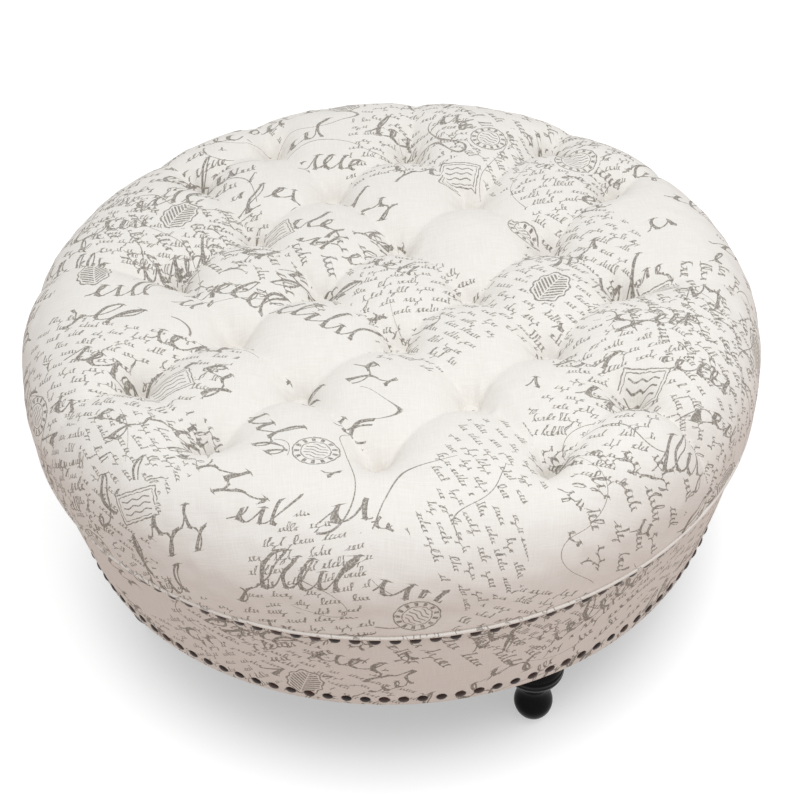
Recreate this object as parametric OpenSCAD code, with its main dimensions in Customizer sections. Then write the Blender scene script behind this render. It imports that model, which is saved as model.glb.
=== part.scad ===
// Round tufted pouf on four turned legs: a tapered upholstered drum, a thick tufted
// cushion sewn to it at a welt, two rows of nailheads and a plywood frame inside.
// Millimetres, +Z up, origin on the floor under the middle of the pouf.

/* [Overall] */
// Widest diameter of the cushion
seat_d = 890; // [800:5:1000]
// Height of the drum's lower edge above the floor
leg_h = 141; // [130:1:190]
// Height of the drum, lower edge to welt seam
drum_h = 153; // [140:1:190]
// Height of the cushion above the welt seam
cushion_h = 143; // [135:1:155]
// How far the cushion's widest line stands out past the drum's top edge
cushion_overhang = 7; // [6:0.5:12]
// How far the drum draws in from its top edge to its lower edge
drum_inset = 28.8; // [0:0.1:40]

/* [Cushion] */
// Height of the cushion's widest line above the seam
border_h = 47; // [36:1:50]
// Width of the rolled rim, measured in from the widest line
roll_w = 100; // [80:1:102]
// Dip of the middle of the cushion below the start of the roll
dish_h = 10; // [0:1:10]
// Depth of a tuft below the middle of the cushion
tuft_depth = 45; // [40:1:52]
// Distance from the outermost tufts to the widest line
tuft_margin = 103; // [103:1:115]
// Turn of the tuft pattern about the middle, degrees
tuft_turn = -5.6; // [-45:0.1:45]
// Shift of the tuft pattern to the right
tuft_shift = 9; // [-9:1:9]
// Distance over which the cloth falls into a pleat
pleat_w = 30; // [20:1:34]
// Depth of a radial pleat where it crosses the rim
rim_pleat = 2; // [1:0.5:6]

/* [Padding] */
// Least depth of padding under the cloth of a tuft
tuft_room = 4; // [2:0.5:8]
// Distance from the widest line in to the foam core
foam_inset = 30; // [26:1:36]
// Radius of the foam core's upper edge
foam_round = 35; // [20:1:45]
// Thickness of the wadding over the foam
wadding_t = 8; // [4:0.5:9]
// Radius of the holes cut in the foam at the tufts
foam_hole_r = 16; // [10:1:20]
// Thickness of the padding round the drum
apron_pad_t = 6; // [3:0.5:10]

/* [Cloth] */
// Thickness of the cover cloth with its lining
cover_t = 1.2; // [0.8:0.1:2]
// Radius of the covered welt cord
welt_r = 3; // [2.5:0.5:5]
// Width of the cloth turned in under the drum
hem_w = 20; // [12:1:22]
// Thickness of the dust cover
dust_t = 0.8; // [0.5:0.1:1.5]
// Distance from the drum's lower edge in to the dust cover's edge
dust_inset = 6; // [3:1:10]

/* [Buttons and nails] */
// Radius of a covered button
button_r = 11; // [9:0.5:13]
// Height of a covered button
button_h = 6; // [4:0.5:8]
// Radius of the tufting twine
twine_r = 1; // [0.7:0.1:1.5]
// Radius of a nailhead
nail_r = 6.5; // [5:0.5:7]
// Height of a nailhead
nail_h = 3.4; // [2:0.2:4.5]
// Distance between nails along a row
nail_pitch = 21; // [16:0.5:30]
// Height of the lower nail row above the drum's lower edge
nail_edge = 13.5; // [7:0.5:16]

/* [Frame] */
// Thickness of the frame's plywood rings
ply_t = 18; // [12:1:21]
// Thickness of the deck board
deck_t = 12; // [9:1:15]
// Thickness of the bent side wall
wall_t = 3; // [2:0.5:4]
// Width of the lower ring
lower_ring_w = 104; // [96:1:120]
// Width of a post, along the rim
post_w = 45; // [30:1:60]
// Thickness of a post, towards the middle
post_t = 28; // [20:1:30]
// Width of a cross rail
rail_w = 60; // [40:1:70]
// Thickness of a cross rail
rail_t = 22; // [16:1:26]
// How far a leg block stands out past the leg's top, on each side
block_over = 1; // [0:0.5:2]
// Height of a leg block
block_h = 38; // [30:1:50]

/* [Legs] */
// Room between a leg's top and the staples of the dust cover
leg_room = 4; // [1:0.5:6]
// Turn of the first leg from the front, degrees
leg_turn = 24.7; // [0:0.1:90]
// Radius of the leg's top
leg_top_r = 37; // [34:0.5:38]
// Radius of the flared collar
collar_r = 35; // [30:0.5:38]
// Radius of the waist between collar and top
waist_r = 31; // [24:0.5:34]
// Radius of the neck above the ball
neck_r = 17.5; // [14:0.5:20]
// Radius of the ball
ball_r = 23.5; // [21:0.1:26]
// Radius of the foot under the ball
foot_r = 8; // [7.5:0.5:12]
// Height of the ball's widest line above the floor
ball_z = 28; // [24:1:32]
// Height of the neck above the floor
neck_z = 54; // [50:1:58]
// Height of the collar's lower edge above the floor
collar_z = 90; // [80:1:92]
// Height of the collar's straight band
collar_h = 7; // [4:1:9]
// Height of the straight band at the leg's top
top_band_h = 8; // [5:1:12]
// Radius of a foot glide
glide_r = 7; // [6:0.5:7.5]
// Height of a foot glide
glide_h = 3; // [2:0.5:4]

/* [Fasteners] */
// Radius of a hanger bolt
bolt_r = 4; // [3:0.5:5]
// Depth of the bolt in the leg
bolt_in_leg = 36; // [25:1:50]
// Radius of a wood screw
screw_r = 2.25; // [1.5:0.25:3]
// Length of the screws that go down through deck and ring
deck_screw_l = 60; // [52:1:80]
// Length of the screws that come up through the lower ring
ring_screw_l = 50; // [40:1:60]
// Room between the steel plate over a leg and the turned-in cloth
plate_room = 3; // [1:0.5:6]

/* [Hidden] */
$fn = 96;

// Overrun of every cut past the face it opens
cut = 1;
leg_count = 4;
post_count = 8;
staple_count = 48;
tufts_in_rows = [3, 4, 3, 4, 3, 4, 3];
// How far hand tying drew each tuft off the pattern, in half pitches, front row first
tuft_drift_shares = [
    [[0, 0], [0, -0.15], [0.05, -0.2]],
    [[-0.05, 0.05], [-0.05, 0.05], [0.05, 0], [0, 0]],
    [[0, 0], [0.1, 0], [0, -0.15]],
    [[0.05, 0.05], [0, -0.05], [0, -0.1], [-0.05, -0.05]],
    [[0, 0.05], [0, -0.1], [0, -0.1]],
    [[0, 0.15], [-0.05, 0.05], [-0.05, -0.1], [-0.05, 0.05]],
    [[-0.05, 0.05], [0, -0.05], [0.05, 0.1]]];
// A diamond is this much longer towards the back than it is wide
tuft_stretch_share = 1.07;
// Depth half way along a pleat between two tufts, as a share of a tuft's
pleat_mid_share = 0.33;
// Depth of a rim pleat half way to the widest line, as a share of its tuft's
rim_mid_share = 0.15;
// How square the rolled rim's section is: 2 is an ellipse
roll_power = 2.15;

// Levels, floor up
seam_z = leg_h + drum_h;
widest_z = seam_z + border_h;
crown_z = seam_z + cushion_h;
tuft_z = crown_z - dish_h - tuft_depth;
frame_low_z = leg_h + cover_t;
frame_top_z = seam_z - cover_t;
ring_top_z = frame_low_z + ply_t;
deck_z = frame_top_z - deck_t;
upper_ring_z = deck_z - ply_t;
leg_top_z = leg_h - dust_t;

// The foam's height leaves the room under the tufts
foam_h = cushion_h - dish_h - tuft_depth - wadding_t - tuft_room;

// Radii of the drum
seat_r = seat_d / 2;
drum_top_r = seat_r - cushion_overhang;
drum_low_r = drum_top_r - drum_inset;
drum_lean = atan(drum_inset / drum_h);
frame_inset = cover_t + apron_pad_t + wall_t;
flat_r = seat_r - roll_w;
welt_z = seam_z;
welt_ring_r = drum_top_r + welt_r / cos(drum_lean);

// Distances in from the drum's lower edge: staples, a leg's top and its axis
staple_edge = 6;
staple_in = dust_inset + staple_edge;
leg_axis_in = staple_in + leg_room + leg_top_r;
leg_place_r = drum_low_r - leg_axis_in;
block_w = 2 * (leg_top_r + block_over);
plate_r = leg_axis_in - hem_w - plate_room;

// Radius of the drum's outer face at a height
function drum_r(z) = drum_low_r + drum_inset * (z - leg_h) / drum_h;

lower_ring_in_r = drum_r(frame_low_z) - frame_inset - lower_ring_w;
// Running room between the side wall and the posts
post_gap = 4;
post_out_r = drum_r(ring_top_z) - frame_inset - post_gap;
post_mid_r = post_out_r - post_t / 2;
// How far a rail's end laps onto the lower ring
rail_lap = 58;
rail_half = lower_ring_in_r + rail_lap;
// Places of the screws through the rails' ends, in from the end
rail_screw_in = 30;

// Small sizes of the fasteners
washer_r = 10;
washer_t = 3;
washer_room = 3;
knot_r = 3;
deck_hole_r = 2.5;
tee_flange_r = 11;
tee_flange_t = 1.2;
tee_barrel_r = 5.5;
tee_barrel_h = 11;
tee_room = 1;
bolt_over_nut = 6;
screw_head_r = 4.5;
screw_head_h = 3;
// How far a rail's screw stays short of the lower ring's underside
rail_screw_room = 4;
rail_screw_l = rail_t + ply_t - rail_screw_room;
knot_z = deck_z - washer_t - knot_r;
glide_pin_r = 1.2;
glide_pin_h = 12;
staple_w = 12;
staple_t = 0.6;
staple_wire = 1.2;
button_room = 0.3;
seam_hem_w = 26;
welt_gap = 0.6;
foot_round = 2.6;
nail_gap = 2.2;
nail_rim_share = 0.35;
nail_top_share = 0.45;

// Places of the tufts: each is [column, row] in half pitches
tuft_rows = len(tufts_in_rows);
outer_row = (tuft_rows - 1) / 2;
tuft_cells = [for (row = [0:tuft_rows - 1]) for (k = [0:tufts_in_rows[row] - 1])
    [2 * k - tufts_in_rows[row] + 1, row - (tuft_rows - 1) / 2]];
tuft_half = (seat_r - tuft_margin)
    / norm([outer_row - 1, outer_row * tuft_stretch_share]);
tuft_drift = [for (row = tuft_drift_shares) each row];
tufts = [for (k = [0:len(tuft_cells) - 1]) tuft_place(tuft_cells[k] + tuft_drift[k])];
// The upper ring leaves the tufts' washers free
upper_ring_in_r = max([for (p = tufts) norm(p)]) + washer_r + washer_room;

// Place of a tuft from its column and row
function tuft_place(c) = let (x = c[0] * tuft_half, y = c[1] * tuft_half * tuft_stretch_share)
    [x * cos(tuft_turn) - y * sin(tuft_turn) + tuft_shift, x * sin(tuft_turn) + y * cos(tuft_turn)];

// The smooth cushion's height at a radius, before any tuft
function crown_at(r) = r <= flat_r ? crown_z - dish_h * (1 - pow(r / flat_r, 2))
    : widest_z + (crown_z - widest_z)
        * pow(max(0, 1 - pow((r - flat_r) / roll_w, roll_power)), 1 / roll_power);
// How far the cloth falls from the smooth cushion to a tuft
function fall_at(p) = crown_at(norm(p)) - tuft_z;

// Pleats: [start, end, depth at the start, depth at the end, depth half way]
pleats = concat(
    [for (a = [0:len(tufts) - 1]) for (b = [a + 1:1:len(tufts) - 1])
        if (abs(tuft_cells[a][0] - tuft_cells[b][0]) == 1 && abs(tuft_cells[a][1] - tuft_cells[b][1]) == 1)
            [tufts[a], tufts[b], fall_at(tufts[a]), fall_at(tufts[b]), tuft_depth * pleat_mid_share]],
    [for (a = [0:len(tufts) - 1]) if (max(abs(tuft_cells[a][0]), abs(tuft_cells[a][1])) == outer_row)
        [tufts[a], tufts[a] * seat_r / norm(tufts[a]), fall_at(tufts[a]), rim_pleat,
            tuft_depth * rim_mid_share]]);

// How far a pleat draws the cloth in at a point
function pleat_pull(p, s) = let (
        d = s[1] - s[0],
        t = max(0, min(1, ((p - s[0]) * d) / (d * d))),
        gap = norm(p - s[0] - d * t),
        deep = t < 0.5 ? s[4] + (s[2] - s[4]) * pow(1 - 2 * t, 2) : s[4] + (s[3] - s[4]) * pow(2 * t - 1, 2))
    deep * exp(-gap / pleat_w);
function pull_at(p) = max([for (s = pleats) pleat_pull(p, s)]);

// The cushion's mesh: rings of 6, 12, 18 ... points, then straight bands down the side
top_rings = 16;
side_bands = 3;
side_points = 6 * top_rings;
roll_rings = 5;

// Radius of a ring on the top, closer together round the roll
function ring_r(k) = k <= top_rings - roll_rings ? flat_r * k / (top_rings - roll_rings)
    : flat_r + roll_w * sin(90 * (k - top_rings + roll_rings) / roll_rings);
function ring_angle(k, m) = 360 * m / (6 * max(k, 1));

// The tuft that takes this point of the mesh, if one lies nearest to it
function ring_of(p) = round(norm(p) * (top_rings - roll_rings) / flat_r);
function slot_of(p) = (round(atan2(p[1], p[0]) * ring_of(p) / 60) + 6 * ring_of(p)) % (6 * ring_of(p));
function taken(k, m) = [for (p = tufts) if (ring_of(p) == k && slot_of(p) == m) p];

function top_point(k, m) = let (
        near = taken(k, m),
        a = ring_angle(k, m),
        p = len(near) > 0 ? near[0] : ring_r(k) * [cos(a), sin(a)],
        r = norm(p),
        pull = pull_at(p),
        lean = r <= flat_r ? 0 : 90 * pow((r - flat_r) / roll_w, roll_power),
        in = r > 0 ? (r - pull * sin(lean)) / r : 1)
    [p[0] * in, p[1] * in, crown_at(r) - pull * cos(lean)];

// How far down the border its middle band ends, and how far the cloth at the welt
// stands out from the drum's edge and draws in behind it, in welt radii
side_share = 0.45;
welt_out_share = 0.6;
welt_in_share = 0.5;
// Radius and height of each side band's lower edge
side_path = [[seat_r - cushion_overhang * pow(side_share, 2), widest_z - border_h * side_share],
    [drum_top_r + welt_r * welt_out_share, seam_z + welt_r + welt_gap],
    [drum_top_r - welt_r * welt_in_share, seam_z]];
function side_point(band, m) = let (
        a = ring_angle(top_rings, m),
        pull = pull_at(seat_r * [cos(a), sin(a)]) * (side_bands - 1 - band) / side_bands,
        r = side_path[band][0] - pull)
    [r * cos(a), r * sin(a), side_path[band][1]];

function ring_start(k) = k == 0 ? 0 : 1 + 3 * k * (k - 1);
side_start = ring_start(top_rings + 1);
function cushion_points() = concat(
    [top_point(0, 0)],
    [for (k = [1:top_rings]) for (m = [0:6 * k - 1]) top_point(k, m)],
    [for (band = [0:side_bands - 1]) for (m = [0:side_points - 1]) side_point(band, m)],
    [[0, 0, seam_z]]);

// Faces between ring k and the next, one sixth of the circle at a time
function ring_faces(k) = [for (s = [0:5]) each concat(
    [for (j = [0:k]) [ring_start(k) + (k == 0 ? 0 : (s * k + j) % (6 * k)),
        ring_start(k + 1) + (s * (k + 1) + j + 1) % (6 * (k + 1)),
        ring_start(k + 1) + s * (k + 1) + j]],
    [for (j = [0:1:k - 1]) [ring_start(k) + s * k + j, ring_start(k) + (s * k + j + 1) % (6 * k),
        ring_start(k + 1) + (s * (k + 1) + j + 1) % (6 * (k + 1))]])];
function band_start(b) = b == 0 ? ring_start(top_rings) : side_start + (b - 1) * side_points;
function band_faces(b) = [for (m = [0:side_points - 1]) let (n = (m + 1) % side_points) each [
    [band_start(b) + m, band_start(b) + n, band_start(b + 1) + n],
    [band_start(b) + m, band_start(b + 1) + n, band_start(b + 1) + m]]];
function base_faces() = [for (m = [0:side_points - 1])
    [band_start(side_bands) + m, band_start(side_bands) + (m + 1) % side_points,
        side_start + side_bands * side_points]];

// A shell that follows the drum's lean, between two heights and two distances inside it
module drum_shell(low, high, out_in, in_in) {
    rotate_extrude()
        polygon([[drum_r(low) - in_in, low], [drum_r(low) - out_in, low],
            [drum_r(high) - out_in, high], [drum_r(high) - in_in, high]]);
}

// A flat board whose edge follows the drum's lean, with a round opening
module drum_board(low, thick, open_r) {
    rotate_extrude()
        polygon([[open_r, low], [drum_r(low) - frame_inset, low],
            [drum_r(low + thick) - frame_inset, low + thick], [open_r, low + thick]]);
}

module each_leg() {
    for (k = [0:leg_count - 1])
        at_leg(k)
            children();
}

module at_leg(k) {
    rotate([0, 0, leg_turn - 90 + 360 * k / leg_count])
        translate([leg_place_r, 0, 0])
            children();
}

module at_post(k) {
    rotate([0, 0, leg_turn - 90 + 360 * (k + 0.5) / post_count])
        translate([post_mid_r, 0, 0])
            children();
}

module each_post() {
    for (k = [0:post_count - 1])
        at_post(k)
            children();
}

module at_rail(k) {
    rotate([0, 0, leg_turn - 45 + 90 * k])
        children();
}

module each_rail_end() {
    for (k = [0:1], side = [0, 180])
        at_rail(k)
            rotate([0, 0, side])
                translate([rail_half - rail_screw_in, 0, 0])
                    children();
}

// The foam's outline, grown by a thickness
function foam_path(grow) = let (
        r = seat_r - foam_inset + grow,
        top = seam_z + foam_h + grow,
        round_r = foam_round + grow)
    concat([[0, seam_z], [r, seam_z]],
        [for (a = [0:15:90]) [r - round_r + round_r * cos(a), top - round_r + round_r * sin(a)]],
        [[0, top]]);

// A screw with its countersunk head at the top, pointing down from z = 0
module screw(long) {
    rotate_extrude()
        polygon([[0, -long], [screw_r, -long], [screw_r, -screw_head_h], [screw_head_r, 0], [0, 0]]);
}

module top_cover() {
    color("linen")
        difference() {
            polyhedron(
                points = cushion_points(),
                faces = concat(
                    [for (k = [0:top_rings - 1]) each ring_faces(k)],
                    [for (b = [0:side_bands - 1]) each band_faces(b)],
                    base_faces()),
                convexity = 10);
            rotate_extrude()
                polygon(foam_path(wadding_t));
            for (p = tufts)
                translate([p[0], p[1], 0]) {
                    translate([0, 0, tuft_z])
                        cylinder(h = fall_at(p) + cut, r = button_r + button_room);
                    translate([0, 0, seam_z])
                        cylinder(h = cushion_h, r = twine_r);
                }
        }
}

module wadding() {
    color("white")
        difference() {
            rotate_extrude()
                polygon(foam_path(wadding_t));
            rotate_extrude()
                polygon(foam_path(0));
            for (p = tufts)
                translate([p[0], p[1], seam_z])
                    cylinder(h = foam_h + wadding_t + cut, r = twine_r);
        }
}

module foam_core() {
    color("khaki")
        difference() {
            rotate_extrude()
                polygon(foam_path(0));
            for (p = tufts)
                translate([p[0], p[1], seam_z - cut])
                    cylinder(h = foam_h + 2 * cut, r = foam_hole_r);
        }
}

module tuft_buttons() {
    color("linen")
        for (p = tufts)
            translate([p[0], p[1], tuft_z])
                rotate_extrude()
                    polygon(concat([[0, 0], [button_r, 0]],
                        [for (a = [0:15:90])
                            [button_r * cos(a), button_h / 2 + button_h / 2 * sin(a)]]));
}

module tuft_twines() {
    color("ivory")
        for (p = tufts)
            translate([p[0], p[1], 0]) {
                translate([0, 0, knot_z])
                    cylinder(h = tuft_z - knot_z, r = twine_r);
                translate([0, 0, knot_z])
                    sphere(r = knot_r, $fn = 24);
            }
}

module twine_washers() {
    color("tan")
        for (p = tufts)
            translate([p[0], p[1], deck_z - washer_t])
                difference() {
                    cylinder(h = washer_t, r = washer_r);
                    translate([0, 0, -cut])
                        cylinder(h = washer_t + 2 * cut, r = twine_r);
                }
}

module deck_board() {
    color("burlywood")
        difference() {
            drum_board(deck_z, deck_t, 0);
            for (p = tufts)
                translate([p[0], p[1], deck_z - cut])
                    cylinder(h = deck_t + 2 * cut, r = deck_hole_r);
            each_post()
                translate([0, 0, frame_top_z])
                    screw(deck_screw_l);
        }
}

module upper_ring() {
    color("burlywood")
        difference() {
            drum_board(upper_ring_z, ply_t, upper_ring_in_r);
            each_post()
                translate([0, 0, frame_top_z])
                    screw(deck_screw_l);
        }
}

module lower_ring() {
    color("burlywood")
        difference() {
            drum_board(frame_low_z, ply_t, lower_ring_in_r);
            each_post()
                translate([0, 0, frame_low_z])
                    mirror([0, 0, 1])
                        screw(ring_screw_l);
            each_rail_end()
                translate([0, 0, ring_top_z + rail_t])
                    screw(rail_screw_l);
            each_leg()
                translate([0, 0, frame_low_z - cut])
                    cylinder(h = ply_t + 2 * cut, r = tee_barrel_r);
        }
}

module post(k) {
    color("peru")
        difference() {
            at_post(k)
                translate([-post_t / 2, -post_w / 2, ring_top_z])
                    cube([post_t, post_w, upper_ring_z - ring_top_z]);
            at_post(k)
                translate([0, 0, frame_top_z])
                    screw(deck_screw_l);
            at_post(k)
                translate([0, 0, frame_low_z])
                    mirror([0, 0, 1])
                        screw(ring_screw_l);
        }
}

// A cross rail; the notch is cut from its top or its underside where the rails cross
module cross_rail(k, notch_z) {
    color("peru")
        difference() {
            at_rail(k)
                translate([-rail_half, -rail_w / 2, ring_top_z])
                    cube([2 * rail_half, rail_w, rail_t]);
            at_rail(k)
                translate([-rail_w / 2, -rail_w / 2 - cut, notch_z])
                    cube([rail_w, rail_w + 2 * cut, rail_t / 2 + cut]);
            each_rail_end()
                translate([0, 0, ring_top_z + rail_t])
                    screw(rail_screw_l);
        }
}

module leg_block(k) {
    color("peru")
        at_leg(k)
            difference() {
                translate([-block_w / 2, -block_w / 2, ring_top_z])
                    cube([block_w, block_w, block_h]);
                translate([0, 0, ring_top_z - cut])
                    cylinder(h = block_h + 2 * cut, r = tee_flange_r + tee_room);
            }
}

module side_wall() {
    color("sienna")
        drum_shell(frame_low_z, frame_top_z, cover_t + apron_pad_t, frame_inset);
}

module apron_padding() {
    color("white")
        drum_shell(frame_low_z, frame_top_z, cover_t, cover_t + apron_pad_t);
}

module apron_cover() {
    color("linen")
        rotate_extrude()
            polygon([[drum_low_r, leg_h], [drum_top_r, seam_z],
                [drum_top_r - seam_hem_w, seam_z], [drum_top_r - seam_hem_w, frame_top_z],
                [drum_r(frame_top_z) - cover_t, frame_top_z],
                [drum_r(frame_low_z) - cover_t, frame_low_z],
                [drum_low_r - hem_w, frame_low_z], [drum_low_r - hem_w, leg_h]]);
}

module welt_piping() {
    color("linen")
        rotate_extrude()
            translate([welt_ring_r, welt_z])
                circle(r = welt_r, $fn = 32);
}

// One low domed nailhead, its flat back at z = 0
module nail_head() {
    cylinder(h = nail_h * nail_top_share, r1 = nail_r, r2 = nail_r * (1 - nail_rim_share / 2), $fn = 24);
    translate([0, 0, nail_h * nail_top_share])
        cylinder(h = nail_h * (1 - nail_top_share), r1 = nail_r * (1 - nail_rim_share / 2),
            r2 = nail_r * nail_rim_share, $fn = 24);
}

// A row of nailheads round the drum at a height, square to its lean
module nail_row(z) {
    count = round(2 * PI * drum_r(z) / nail_pitch);
    color("saddlebrown")
        for (k = [0:count - 1])
            rotate([0, 0, 360 * k / count])
                translate([drum_r(z), 0, z])
                    rotate([0, 90 + drum_lean, 0])
                        nail_head();
}

module nails_upper() {
    nail_row(welt_z - welt_r - nail_gap - nail_r);
}

module nails_lower() {
    nail_row(leg_h + nail_edge);
}

module dust_cover() {
    color("dimgray")
        difference() {
            translate([0, 0, leg_top_z])
                cylinder(h = dust_t, r = drum_low_r - dust_inset);
            each_leg()
                translate([0, 0, leg_top_z - cut])
                    cylinder(h = dust_t + 2 * cut, r = bolt_r);
        }
}

module dust_staples() {
    color("silver")
        for (k = [0:staple_count - 1])
            rotate([0, 0, 360 * (k + 0.5) / staple_count])
                translate([drum_low_r - staple_in, -staple_w / 2, leg_top_z - staple_t])
                    cube([staple_wire, staple_w, staple_t]);
}

// A smooth turned line from one radius and height to the next, upright at both ends
function sweep_line(a, b, steps) = [for (k = [1:steps]) [
    a[0] + (b[0] - a[0]) * (1 - cos(180 * k / steps)) / 2, a[1] + (b[1] - a[1]) * k / steps]];
// A rounded underside from a foot out to a widest line
function bowl_line(a, b, steps) = [for (k = [1:steps]) [
    a[0] + (b[0] - a[0]) * pow(sin(90 * k / steps), 1.1),
    a[1] + (b[1] - a[1]) * (1 - pow(cos(90 * k / steps), 1.1))]];

module leg(k) {
    band_z = collar_z + collar_h;
    waist_z = (band_z + leg_top_z - top_band_h) / 2;
    color("black")
        at_leg(k)
            difference() {
                rotate_extrude()
                    polygon(concat(
                        [[0, glide_h], [foot_r, glide_h], [foot_r, glide_h + foot_round]],
                        bowl_line([foot_r, glide_h + foot_round], [ball_r, ball_z], 8),
                        sweep_line([ball_r, ball_z], [neck_r, neck_z], 8),
                        sweep_line([neck_r, neck_z], [collar_r, collar_z], 10),
                        sweep_line([collar_r, band_z], [waist_r, waist_z], 6),
                        sweep_line([waist_r, waist_z], [leg_top_r, leg_top_z - top_band_h], 6),
                        [[leg_top_r, leg_top_z], [0, leg_top_z]]));
                translate([0, 0, leg_top_z - bolt_in_leg])
                    cylinder(h = bolt_in_leg + cut, r = bolt_r);
                translate([0, 0, glide_h - cut])
                    cylinder(h = glide_pin_h + cut, r = glide_pin_r);
            }
}

module foot_glides() {
    color("black")
        each_leg() {
            cylinder(h = glide_h, r = glide_r);
            cylinder(h = glide_h + glide_pin_h, r = glide_pin_r);
        }
}

module leg_plates() {
    color("silver")
        each_leg()
            translate([0, 0, leg_h])
                difference() {
                    cylinder(h = cover_t, r = plate_r);
                    translate([0, 0, -cut])
                        cylinder(h = cover_t + 2 * cut, r = bolt_r);
                }
}

module hanger_bolts() {
    color("silver")
        each_leg()
            translate([0, 0, leg_top_z - bolt_in_leg])
                cylinder(h = ring_top_z + tee_flange_t + bolt_over_nut - leg_top_z + bolt_in_leg, r = bolt_r);
}

module tee_nuts() {
    color("silver")
        each_leg()
            difference() {
                union() {
                    translate([0, 0, ring_top_z])
                        cylinder(h = tee_flange_t, r = tee_flange_r);
                    translate([0, 0, ring_top_z - tee_barrel_h])
                        cylinder(h = tee_barrel_h + tee_flange_t, r = tee_barrel_r);
                }
                translate([0, 0, ring_top_z - tee_barrel_h - cut])
                    cylinder(h = tee_barrel_h + tee_flange_t + 2 * cut, r = bolt_r);
            }
}

module deck_screws() {
    color("gold")
        each_post()
            translate([0, 0, frame_top_z])
                screw(deck_screw_l);
}

module ring_screws() {
    color("gold")
        each_post()
            translate([0, 0, frame_low_z])
                mirror([0, 0, 1])
                    screw(ring_screw_l);
}

module rail_screws() {
    color("gold")
        each_rail_end()
            translate([0, 0, ring_top_z + rail_t])
                screw(rail_screw_l);
}

top_cover();
wadding();
foam_core();
tuft_buttons();
tuft_twines();
twine_washers();
deck_board();
upper_ring();
lower_ring();
post(0);  // post_1
post(1);  // post_2
post(2);  // post_3
post(3);  // post_4
post(4);  // post_5
post(5);  // post_6
post(6);  // post_7
post(7);  // post_8
cross_rail(0, ring_top_z + rail_t / 2);  // cross_rail_under
cross_rail(1, ring_top_z - cut);  // cross_rail_over
leg_block(0);  // leg_block_1
leg_block(1);  // leg_block_2
leg_block(2);  // leg_block_3
leg_block(3);  // leg_block_4
side_wall();
apron_padding();
apron_cover();
welt_piping();
nails_upper();
nails_lower();
dust_cover();
dust_staples();
leg(0);  // leg_1
leg(1);  // leg_2
leg(2);  // leg_3
leg(3);  // leg_4
foot_glides();
leg_plates();
hanger_bolts();
tee_nuts();
deck_screws();
ring_screws();
rail_screws();
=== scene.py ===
"""Looks of a round tufted pouf: cloth, nailheads, turned legs, light and camera.

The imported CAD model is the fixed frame. Sizes are metres, +Z is up, and the origin is on
the floor under the middle of the pouf. Sizes that stand in the part's source are repeated
here under the same names.
"""
from __future__ import annotations

import logging
import math
from dataclasses import asdict, dataclass, field
from enum import Enum
from typing import Iterable, Sequence

import bpy
import numpy as np
from bpy.types import Material, Node, NodeSocket, NodeTree, Object
from mathutils import Matrix, Vector

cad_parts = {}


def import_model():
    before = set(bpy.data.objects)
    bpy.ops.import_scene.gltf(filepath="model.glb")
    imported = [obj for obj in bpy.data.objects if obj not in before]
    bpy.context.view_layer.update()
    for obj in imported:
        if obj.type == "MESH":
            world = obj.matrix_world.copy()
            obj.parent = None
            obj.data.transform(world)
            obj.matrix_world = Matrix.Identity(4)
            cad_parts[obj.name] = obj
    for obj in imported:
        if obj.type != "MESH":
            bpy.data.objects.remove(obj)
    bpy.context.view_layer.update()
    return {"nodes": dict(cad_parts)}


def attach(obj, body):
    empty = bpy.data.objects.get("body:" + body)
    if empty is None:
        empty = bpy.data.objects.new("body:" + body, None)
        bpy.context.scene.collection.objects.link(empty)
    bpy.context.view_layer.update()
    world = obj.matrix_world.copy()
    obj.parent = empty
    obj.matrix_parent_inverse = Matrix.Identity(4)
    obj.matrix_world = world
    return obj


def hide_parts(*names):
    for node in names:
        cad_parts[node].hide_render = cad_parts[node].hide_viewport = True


LOG = logging.getLogger("pouf")
BODY = "root"
MM = 0.001


# Nodes and colours


def linear(colour: str) -> tuple[float, float, float, float]:
    """Turn an sRGB hex colour into the linear one that a shader takes.

    Args:
        colour: six hex digits, such as "EDEAE5".

    Returns:
        Linear red, green, blue and an alpha of 1.
    """
    parts = [int(colour[i:i + 2], 16) / 255 for i in (0, 2, 4)]
    bright = [c / 12.92 if c <= 0.04045 else ((c + 0.055) / 1.055) ** 2.4 for c in parts]
    return bright[0], bright[1], bright[2], 1.0


def add(tree: NodeTree, kind: str, *values: object, named: dict | None = None,
        **settings: object) -> Node:
    """Add one node with its settings, and set or link its inputs.

    Args:
        tree: the tree that takes the node.
        kind: the node's type.
        values: inputs in order; a socket or node is linked, None leaves one alone.
        named: inputs by name, set or linked the same way.
        settings: the node's own properties.

    Returns:
        The new node.
    """
    node = tree.nodes.new(kind)
    for key, value in settings.items():
        setattr(node, key, value)
    free = [s for s in node.inputs if s.enabled]
    pairs = list(zip(free, values))
    pairs += [(next(s for s in free if s.name == key), value)
              for key, value in (named or {}).items()]
    for socket, value in pairs:
        if isinstance(value, Node):
            value = next(s for s in value.outputs if s.enabled)
        if isinstance(value, NodeSocket):
            tree.links.new(value, socket)
        elif value is not None:
            socket.default_value = value
    return node


# The two nodes that do sums, on numbers and on vectors
M, V = "ShaderNodeMath", "ShaderNodeVectorMath"


def work_out(tree: NodeTree, known: dict, steps: Sequence[tuple]) -> None:
    """Add one node for each line of a sum on numbers, each line naming its result.

    Args:
        tree: the tree that takes the nodes.
        known: values and sockets by name; results are added to it.
        steps: lines of (result, operation, inputs...), inputs by name or number.
    """
    for result, operation, *inputs in steps:
        values = [known[i] if isinstance(i, str) else i for i in inputs]
        known[result] = add(tree, M, *values, operation=operation)


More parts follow.
